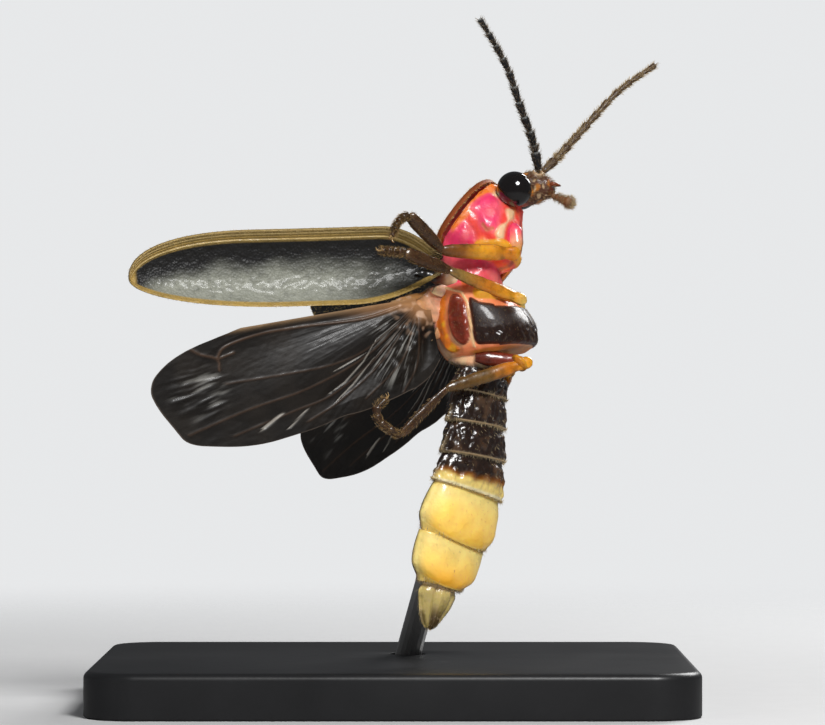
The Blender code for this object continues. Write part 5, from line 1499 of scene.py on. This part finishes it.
def coat_of_hair(name, roots, reach, thick, lean, colours, seed):
    """Hairs on the given roots. reach is the least and greatest length, lean the slant along the rows."""
    random = np.random.default_rng(seed)
    points, normals, ways, places = (np.concatenate(part) for part in zip(*roots))
    count = len(points)
    way = normals + ways * lean + random.normal(0, HAIR_SCATTER, (count, 3))
    way /= np.linalg.norm(way, axis=1, keepdims=True)
    lengths = random.uniform(*reach, count)
    stoutness = random.uniform(0.7, 1.2, count)
    carrier = stations(f"{name}_roots", points - normals * HAIR_SINK, way * lengths[:, None], stoutness)
    hair = joint_mesh(f"{name}_hair", HAIR_PROFILE, hair_coat, *colours, columns=HAIR_SIDES)
    made = run_tree(name, carrier, hair_tree, {"Joint": hair, "Thickness": thick * MM})
    corner = np.zeros(len(made.data.loops), np.int32)
    made.data.loops.foreach_get("vertex_index", corner)
    turn = 2 * np.pi * (corner % HAIR_POINTS) / HAIR_POINTS
    around = np.stack([np.cos(turn), np.sin(turn)], -1) * PATCH / 2
    flat = MAP_MARGIN + (1 - 2 * MAP_MARGIN) * places[corner // HAIR_POINTS] + around
    flat_map = made.data.uv_layers.new(name="OFBake")
    flat_map.data.foreach_set("uv", np.clip(flat, 0, 1).astype(np.float32).ravel())
    piece(made, [])


hair_coat = cuticle("hair", 0.34, (20000, 0.0, 9000, 0.2), (5000, 0.3), 0.002, 0.0, 0.0)
hair_tree = joint_tree("hairs_on_points", hair_coat)
GOLD, PALE, BROWN = (0.50, 0.31, 0.10), (0.70, 0.58, 0.36), (0.16, 0.09, 0.035)

# %% Hairs on feelers and face
FEELER_RADIUS, FEELER_HAIRS = 0.145, 1700
for name, (starts, ends) in antenna_paths.items():
    random = np.random.default_rng(7)
    joint = random.integers(0, len(starts), FEELER_HAIRS)
    share, turn = random.random(FEELER_HAIRS), 2 * np.pi * random.random(FEELER_HAIRS)
    ways = (ends - starts)[joint]
    ways /= np.linalg.norm(ways, axis=1, keepdims=True)
    side_way = np.cross(ways, head.rotation[:, 0])
    side_way /= np.linalg.norm(side_way, axis=1, keepdims=True)
    normals = side_way * np.cos(turn)[:, None] + np.cross(ways, side_way) * np.sin(turn)[:, None]
    points = starts[joint] + (ends - starts)[joint] * share[:, None]
    points = points + normals * (FEELER_RADIUS * (0.68 + 0.30 * share) * (1 - ANTENNA_TAPER * joint))[:, None]
    places = np.stack([turn / (2 * np.pi), (joint + share) / len(starts)], -1)
    # The far left feeler's hairs are painted paler and more golden: a painted sheen of light on them.
    colours = (BROWN, (0.42, 0.40, 0.34)) if name == "right" else ((0.30, 0.19, 0.08), (0.68, 0.54, 0.32))
    coat_of_hair(f"feeler_hairs_{name}", [(points, normals, ways, places)], (0.08, 0.17), 0.014, 1.0,
                 colours, 3)

forward = head.seen_from(head_grid)[2]
snout = ease(0.15, 0.45, forward) + 0.3 * ease(0.0, 0.3, forward)
face_roots = [roots_on(head_grid, 750, 11, snout)]
face_roots += [roots_on(grid, 520, 12 + k) for k, grid in enumerate(palp_grids.values())]
face_hair = (BROWN, (0.72, 0.56, 0.30))
coat_of_hair("face_hairs", face_roots, (0.06, 0.15), 0.012, 0.9, face_hair, 13)

# %% Hairs on legs
THIGH_HAIRS, SHIN_HAIRS, FOOT_HAIRS, FOOT_SLEEVE = 170, 330, 520, 0.26
for number, (name, foot_line) in enumerate(foot_lines.items()):
    width = np.full(len(foot_line), FOOT_SLEEVE)
    sleeve = limb_grid(foot_line, width, width, thorax.rotation[:, 2], columns=16)
    leg_roots = [
        roots_on(limb_grids[f"{name}_thigh"], THIGH_HAIRS, 20 + number),
        roots_on(limb_grids[f"{name}_shin"], SHIN_HAIRS, 30 + number),
        roots_on(sleeve, FOOT_HAIRS, 40 + number),
    ]
    coat_of_hair(f"{name}_hairs", leg_roots, (0.06, 0.13), 0.011, 1.5, (BROWN, GOLD), 50 + number)

# %% Down on the body and along the edges
TAN, UMBER = (0.40, 0.28, 0.13), (0.20, 0.12, 0.05)
body_roots = [roots_on(abdomen_surface, 4600, 61, abdomen_fringe)]
coat_of_hair("abdomen_hairs", body_roots, (0.06, 0.15), 0.013, 1.4, (TAN, PALE), 62)
plates = np.maximum(ease(0, 0.08, breast), ease(0, 0.08, oval) * flank) + 0.12 * front_part
body_roots = [roots_on(thorax_surface, 900, 63, plates)]
coat_of_hair("thorax_hairs", body_roots, (0.05, 0.11), 0.008, 1.8, (UMBER, TAN), 64)


def roots_on_shell(upper, lower, fringe, counts, seeds, more_above):
    """Roots on both faces of a shell, the lower face first."""
    return [
        roots_on(lower, counts[0], seeds[0], fringe, False, upper),
        roots_on(upper, counts[1], seeds[1], fringe + more_above, False, lower),
    ]


shield_roots = roots_on_shell(*shield_faces, shield_fringe, (700, 1000), (65, 66), 0.2)
shield_hair = ((0.55, 0.30, 0.08), (0.80, 0.62, 0.30))
coat_of_hair("shield_hairs", shield_roots, (0.05, 0.10), 0.012, 0.8, shield_hair, 67)
case_hair = ((0.40, 0.26, 0.08), (0.74, 0.58, 0.28))
for number, (side_name, (top, under, fringe)) in enumerate(case_faces.items()):
    case_roots = roots_on_shell(top, under, fringe, (1900, 2400), (70 + number, 74 + number), 0.15)
    coat_of_hair(f"case_hairs_{side_name}", case_roots, (0.05, 0.10), 0.011, 1.2, case_hair, 78 + number)

# %% [markdown]
# ## The stand
#
# A model of a flying insect needs something to hold it: a flat base with round corners and a soft top
# edge, and a rod that leans in a drilled hole. The base is one closed skin. Its rows climb the side,
# round the edge, cross the top towards the hole and go down into it. The rod's own solid is exact
# already, so it stays and only gets its finish: steel drawn through a die, with fine lines along it.

# %% Stand finishes
def stand_finish(slot_name, colour, rough, metal, ripple, spread, depth):
    """A finish for the stand. ripple is the pattern's scale, spread its stretch, depth its relief in mm."""
    made = bpy.data.materials.new(slot_name + "_finish")
    made.use_nodes = True
    tree = made.node_tree
    shader = tree.nodes["Principled BSDF"]
    where = place_node(tree, "ShaderNodeTexCoord")
    across = place_node(tree, "ShaderNodeMapping", Vector=where.outputs["Object"])
    across.inputs["Scale"].default_value = spread
    pattern = place_node(
        tree, "ShaderNodeTexNoise", Vector=across.outputs["Vector"], Scale=ripple, Detail=4.0
    )
    clouds = place_node(tree, "ShaderNodeTexNoise", Vector=where.outputs["Object"], Scale=260.0, Detail=2.0)
    bump = place_node(
        tree, "ShaderNodeBump", Strength=1.0, Distance=depth * MM, Height=pattern.outputs["Fac"]
    )
    shade = place_node(
        tree, "ShaderNodeGroup", {"node_tree": mottle}, Colour=(*colour, 1), Size=700.0, Amount=0.25
    )
    roughness = maths(tree, "MULTIPLY_ADD", clouds.outputs["Fac"], 0.22, rough - 0.11)
    tree.links.new(shade.outputs["Colour"], shader.inputs["Base Color"])
    tree.links.new(roughness, shader.inputs["Roughness"])
    tree.links.new(bump.outputs["Normal"], shader.inputs["Normal"])
    shader.inputs["Metallic"].default_value = metal
    return made


satin_black = stand_finish("base_black", (0.014, 0.014, 0.015), 0.36, 0.0, 5200.0, (1, 1, 1), 0.003)
drawn_steel = stand_finish("rod_steel", (0.62, 0.62, 0.61), 0.40, 0.85, 9000.0, (1, 1, 0.06), 0.003)
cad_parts["stand_rod"].material_slots[0].material = drawn_steel
print("stand_rod keeps its solid and gets", drawn_steel.name)

# %% Base
BASE_SIZE, BASE_CORNER, BASE_TOP, EDGE_ROUND = (18.4, 14.8), 1.6, 1.4, 0.22
ROD_FOOT, ROD_WAY, HOLE_RADIUS, HOLE_FLOOR = (0.45, 1.5), (1.85, -4.4, 6.9), 0.55, 0.44
outline = []
for corner, (sx, sy) in enumerate(((1, 1), (-1, 1), (-1, -1), (1, -1))):
    for step in range(31):
        turn = math.pi / 2 * (corner + step / 30)
        middle = (sx * (BASE_SIZE[0] / 2 - BASE_CORNER), sy * (BASE_SIZE[1] / 2 - BASE_CORNER))
        outline.append((*middle, math.cos(turn), math.sin(turn)))
    further = outline[-1]
    next_x, next_y = ((-1, 1), (-1, -1), (1, -1), (1, 1))[corner]
    goal = (next_x * (BASE_SIZE[0] / 2 - BASE_CORNER), next_y * (BASE_SIZE[1] / 2 - BASE_CORNER))
    for step in range(1, 30):
        between = [further[k] + (goal[k] - further[k]) * step / 30 for k in (0, 1)]
        outline.append((*between, further[2], further[3]))
outline = np.array(outline)
middles, ways = outline[:, :2], outline[:, 2:]


def base_row(inset, height):
    """The outline drawn in by inset, at a height."""
    return np.column_stack([middles + ways * (BASE_CORNER - inset), np.full(len(outline), height)])


rows = [base_row(0.06, 0.0), base_row(0.0, 0.06), base_row(0.0, 0.5), base_row(0.0, BASE_TOP - EDGE_ROUND)]
for turn in np.radians((15, 30, 45, 60, 75, 90)):
    rows.append(base_row(EDGE_ROUND * (1 - math.cos(turn)), BASE_TOP - EDGE_ROUND * (1 - math.sin(turn))))
way = np.array(ROD_WAY) / np.linalg.norm(ROD_WAY)
spoke = rows[-1][:, :2] - ROD_FOOT
spoke /= np.linalg.norm(spoke, axis=1, keepdims=True)
hole_reach = HOLE_RADIUS / np.sqrt(1 - (spoke @ way[:2]) ** 2)


def hole_row(wider, height):
    """The hole's outline at a height. It leans with the rod."""
    middle = np.array(ROD_FOOT) + way[:2] / way[2] * (height - BASE_TOP)
    return np.column_stack([middle + spoke * (hole_reach + wider)[:, None], np.full(len(outline), height)])


rim_row = hole_row(0.04, BASE_TOP)
rows += [rows[-1] + (rim_row - rows[-1]) * share for share in (0.05, 0.4, 0.8)]
rows += [rim_row, hole_row(0.012, BASE_TOP - 0.012), hole_row(0.0, BASE_TOP - 0.04)]
rows.append(hole_row(0.0, HOLE_FLOOR))
base = tube_mesh("stand_slab", np.array(rows), {}, satin_black, 40)
piece(base, ["stand_base"])

# %% [markdown]
# ## Camera, light and floor
#
# The camera looks level at the insect's right side from far away, so that nothing is stretched. One
# large soft lamp from above and in front models the forms and leaves the long highlights that a
# varnished skin needs. A weaker one fills the shadows from the left, and one from behind draws the
# outline.

# %% Camera
VIEW_HEIGHT, VIEW_BOTTOM = 22.1, -0.5
ASPECT = 825 / 725
DISTANCE, SENSOR_WIDTH = 130.95, 36.0
INSECT_MIDDLE = (0.5, -2.6, 10.6)
camera_data = bpy.data.cameras.new("camera")
camera = bpy.data.objects.new("camera", camera_data)
bpy.context.collection.objects.link(camera)
camera.location = Vector((0.586, -2.6 - DISTANCE, VIEW_BOTTOM + VIEW_HEIGHT / 2)) * MM
camera.rotation_euler = (math.pi / 2, 0, 0)
camera_data.sensor_width = SENSOR_WIDTH
camera_data.lens = SENSOR_WIDTH * DISTANCE / (VIEW_HEIGHT * ASPECT)
camera_data.clip_start, camera_data.clip_end = 0.001, 10.0
bpy.context.scene.camera = camera
print("camera at", tuple(round(v / MM, 2) for v in camera.location), "mm")


# %% Lamps
def lamp(name, place, size, power):
    """A round soft lamp pointed at the middle of the insect."""
    data = bpy.data.lights.new(name, "AREA")
    data.shape = "DISK"
    data.size = size * MM
    data.energy = power
    made = bpy.data.objects.new(name, data)
    bpy.context.collection.objects.link(made)
    made.location = Vector(place) * MM
    made.rotation_euler = (Vector(INSECT_MIDDLE) - Vector(place)).to_track_quat("-Z", "Y").to_euler()
    return made


lamp("key", (30, -85, 75), 34, 0.098)
lamp("fill", (-75, -70, 30), 60, 0.016).visible_glossy = False
lamp("rim", (50, 60, 60), 45, 0.055)

# %% [markdown]
# The surroundings have two values: a pale one that only the camera sees, and a dim one that lights and
# mirrors in the shell. The floor is a sheet of pale paper that grows clear with distance, so that it
# melts into the surroundings and no horizon is drawn. Mirrored in the shell, the paper is darker.
# Blender's usual view fades strong bright colours towards white. The plain one keeps the yellow of the
# lantern and the pink of the neck as they are painted.

# %% Surroundings
LIT_STRENGTH, SEEN_STRENGTH = 0.075, 1.0
bpy.context.scene.view_settings.view_transform = "Standard"
world = bpy.data.worlds.new("studio")
bpy.context.scene.world = world
world.use_nodes = True
sky_tree = world.node_tree
dim = sky_tree.nodes["Background"]
dim.inputs["Color"].default_value = (0.92, 0.95, 1.0, 1)
dim.inputs["Strength"].default_value = LIT_STRENGTH
pale = place_node(sky_tree, "ShaderNodeBackground", Color=(0.80, 0.81, 0.82, 1), Strength=SEEN_STRENGTH)
seen = place_node(sky_tree, "ShaderNodeLightPath")
mixed = place_node(sky_tree, "ShaderNodeMixShader", i0=seen.outputs["Is Camera Ray"])
sky_tree.links.new(dim.outputs["Background"], mixed.inputs[1])
sky_tree.links.new(pale.outputs["Background"], mixed.inputs[2])
sky_tree.links.new(mixed.outputs["Shader"], sky_tree.nodes["World Output"].inputs["Surface"])

# %% Floor
FLOOR_REACH, CLEAR_FROM, CLEAR_TO, MIRROR_DIMMING = 0.4, 0.016, 0.075, 0.75
corners = [(x * FLOOR_REACH, y * FLOOR_REACH, 0) for x, y in ((-1, -1), (1, -1), (1, 1), (-1, 1))]
floor_mesh = bpy.data.meshes.new("floor")
floor_mesh.from_pydata(corners, [], [(0, 1, 2, 3)])
floor = bpy.data.objects.new("floor", floor_mesh)
bpy.context.collection.objects.link(floor)
paper = bpy.data.materials.new("pale_paper")
paper.use_nodes = True
paper_tree = paper.node_tree
sheet = paper_tree.nodes["Principled BSDF"]
where = place_node(paper_tree, "ShaderNodeTexCoord")
fibres = place_node(
    paper_tree, "ShaderNodeTexNoise", Vector=where.outputs["Object"], Scale=900.0, Detail=3.0
)
tone = place_node(paper_tree, "ShaderNodeMapRange", Value=fibres.outputs["Fac"])
tone.inputs["To Min"].default_value, tone.inputs["To Max"].default_value = 0.78, 0.82
far = place_node(paper_tree, "ShaderNodeVectorMath", {"operation": "LENGTH"}, i0=where.outputs["Object"])
fade = place_node(
    paper_tree, "ShaderNodeMapRange", {"interpolation_type": "SMOOTHSTEP"}, Value=far.outputs["Value"]
)
for label, value in (("From Min", CLEAR_FROM), ("From Max", CLEAR_TO), ("To Min", 1.0), ("To Max", 0.0)):
    fade.inputs[label].default_value = value
mirrored = place_node(paper_tree, "ShaderNodeLightPath")
dimmer = maths(paper_tree, "MULTIPLY_ADD", mirrored.outputs["Is Glossy Ray"], -MIRROR_DIMMING, 1.0)
shade = maths(paper_tree, "MULTIPLY", tone.outputs["Result"], dimmer)
paper_tree.links.new(shade, sheet.inputs["Base Color"])
paper_tree.links.new(fade.outputs["Result"], sheet.inputs["Alpha"])
sheet.inputs["Roughness"].default_value = 0.9
floor.data.materials.append(paper)
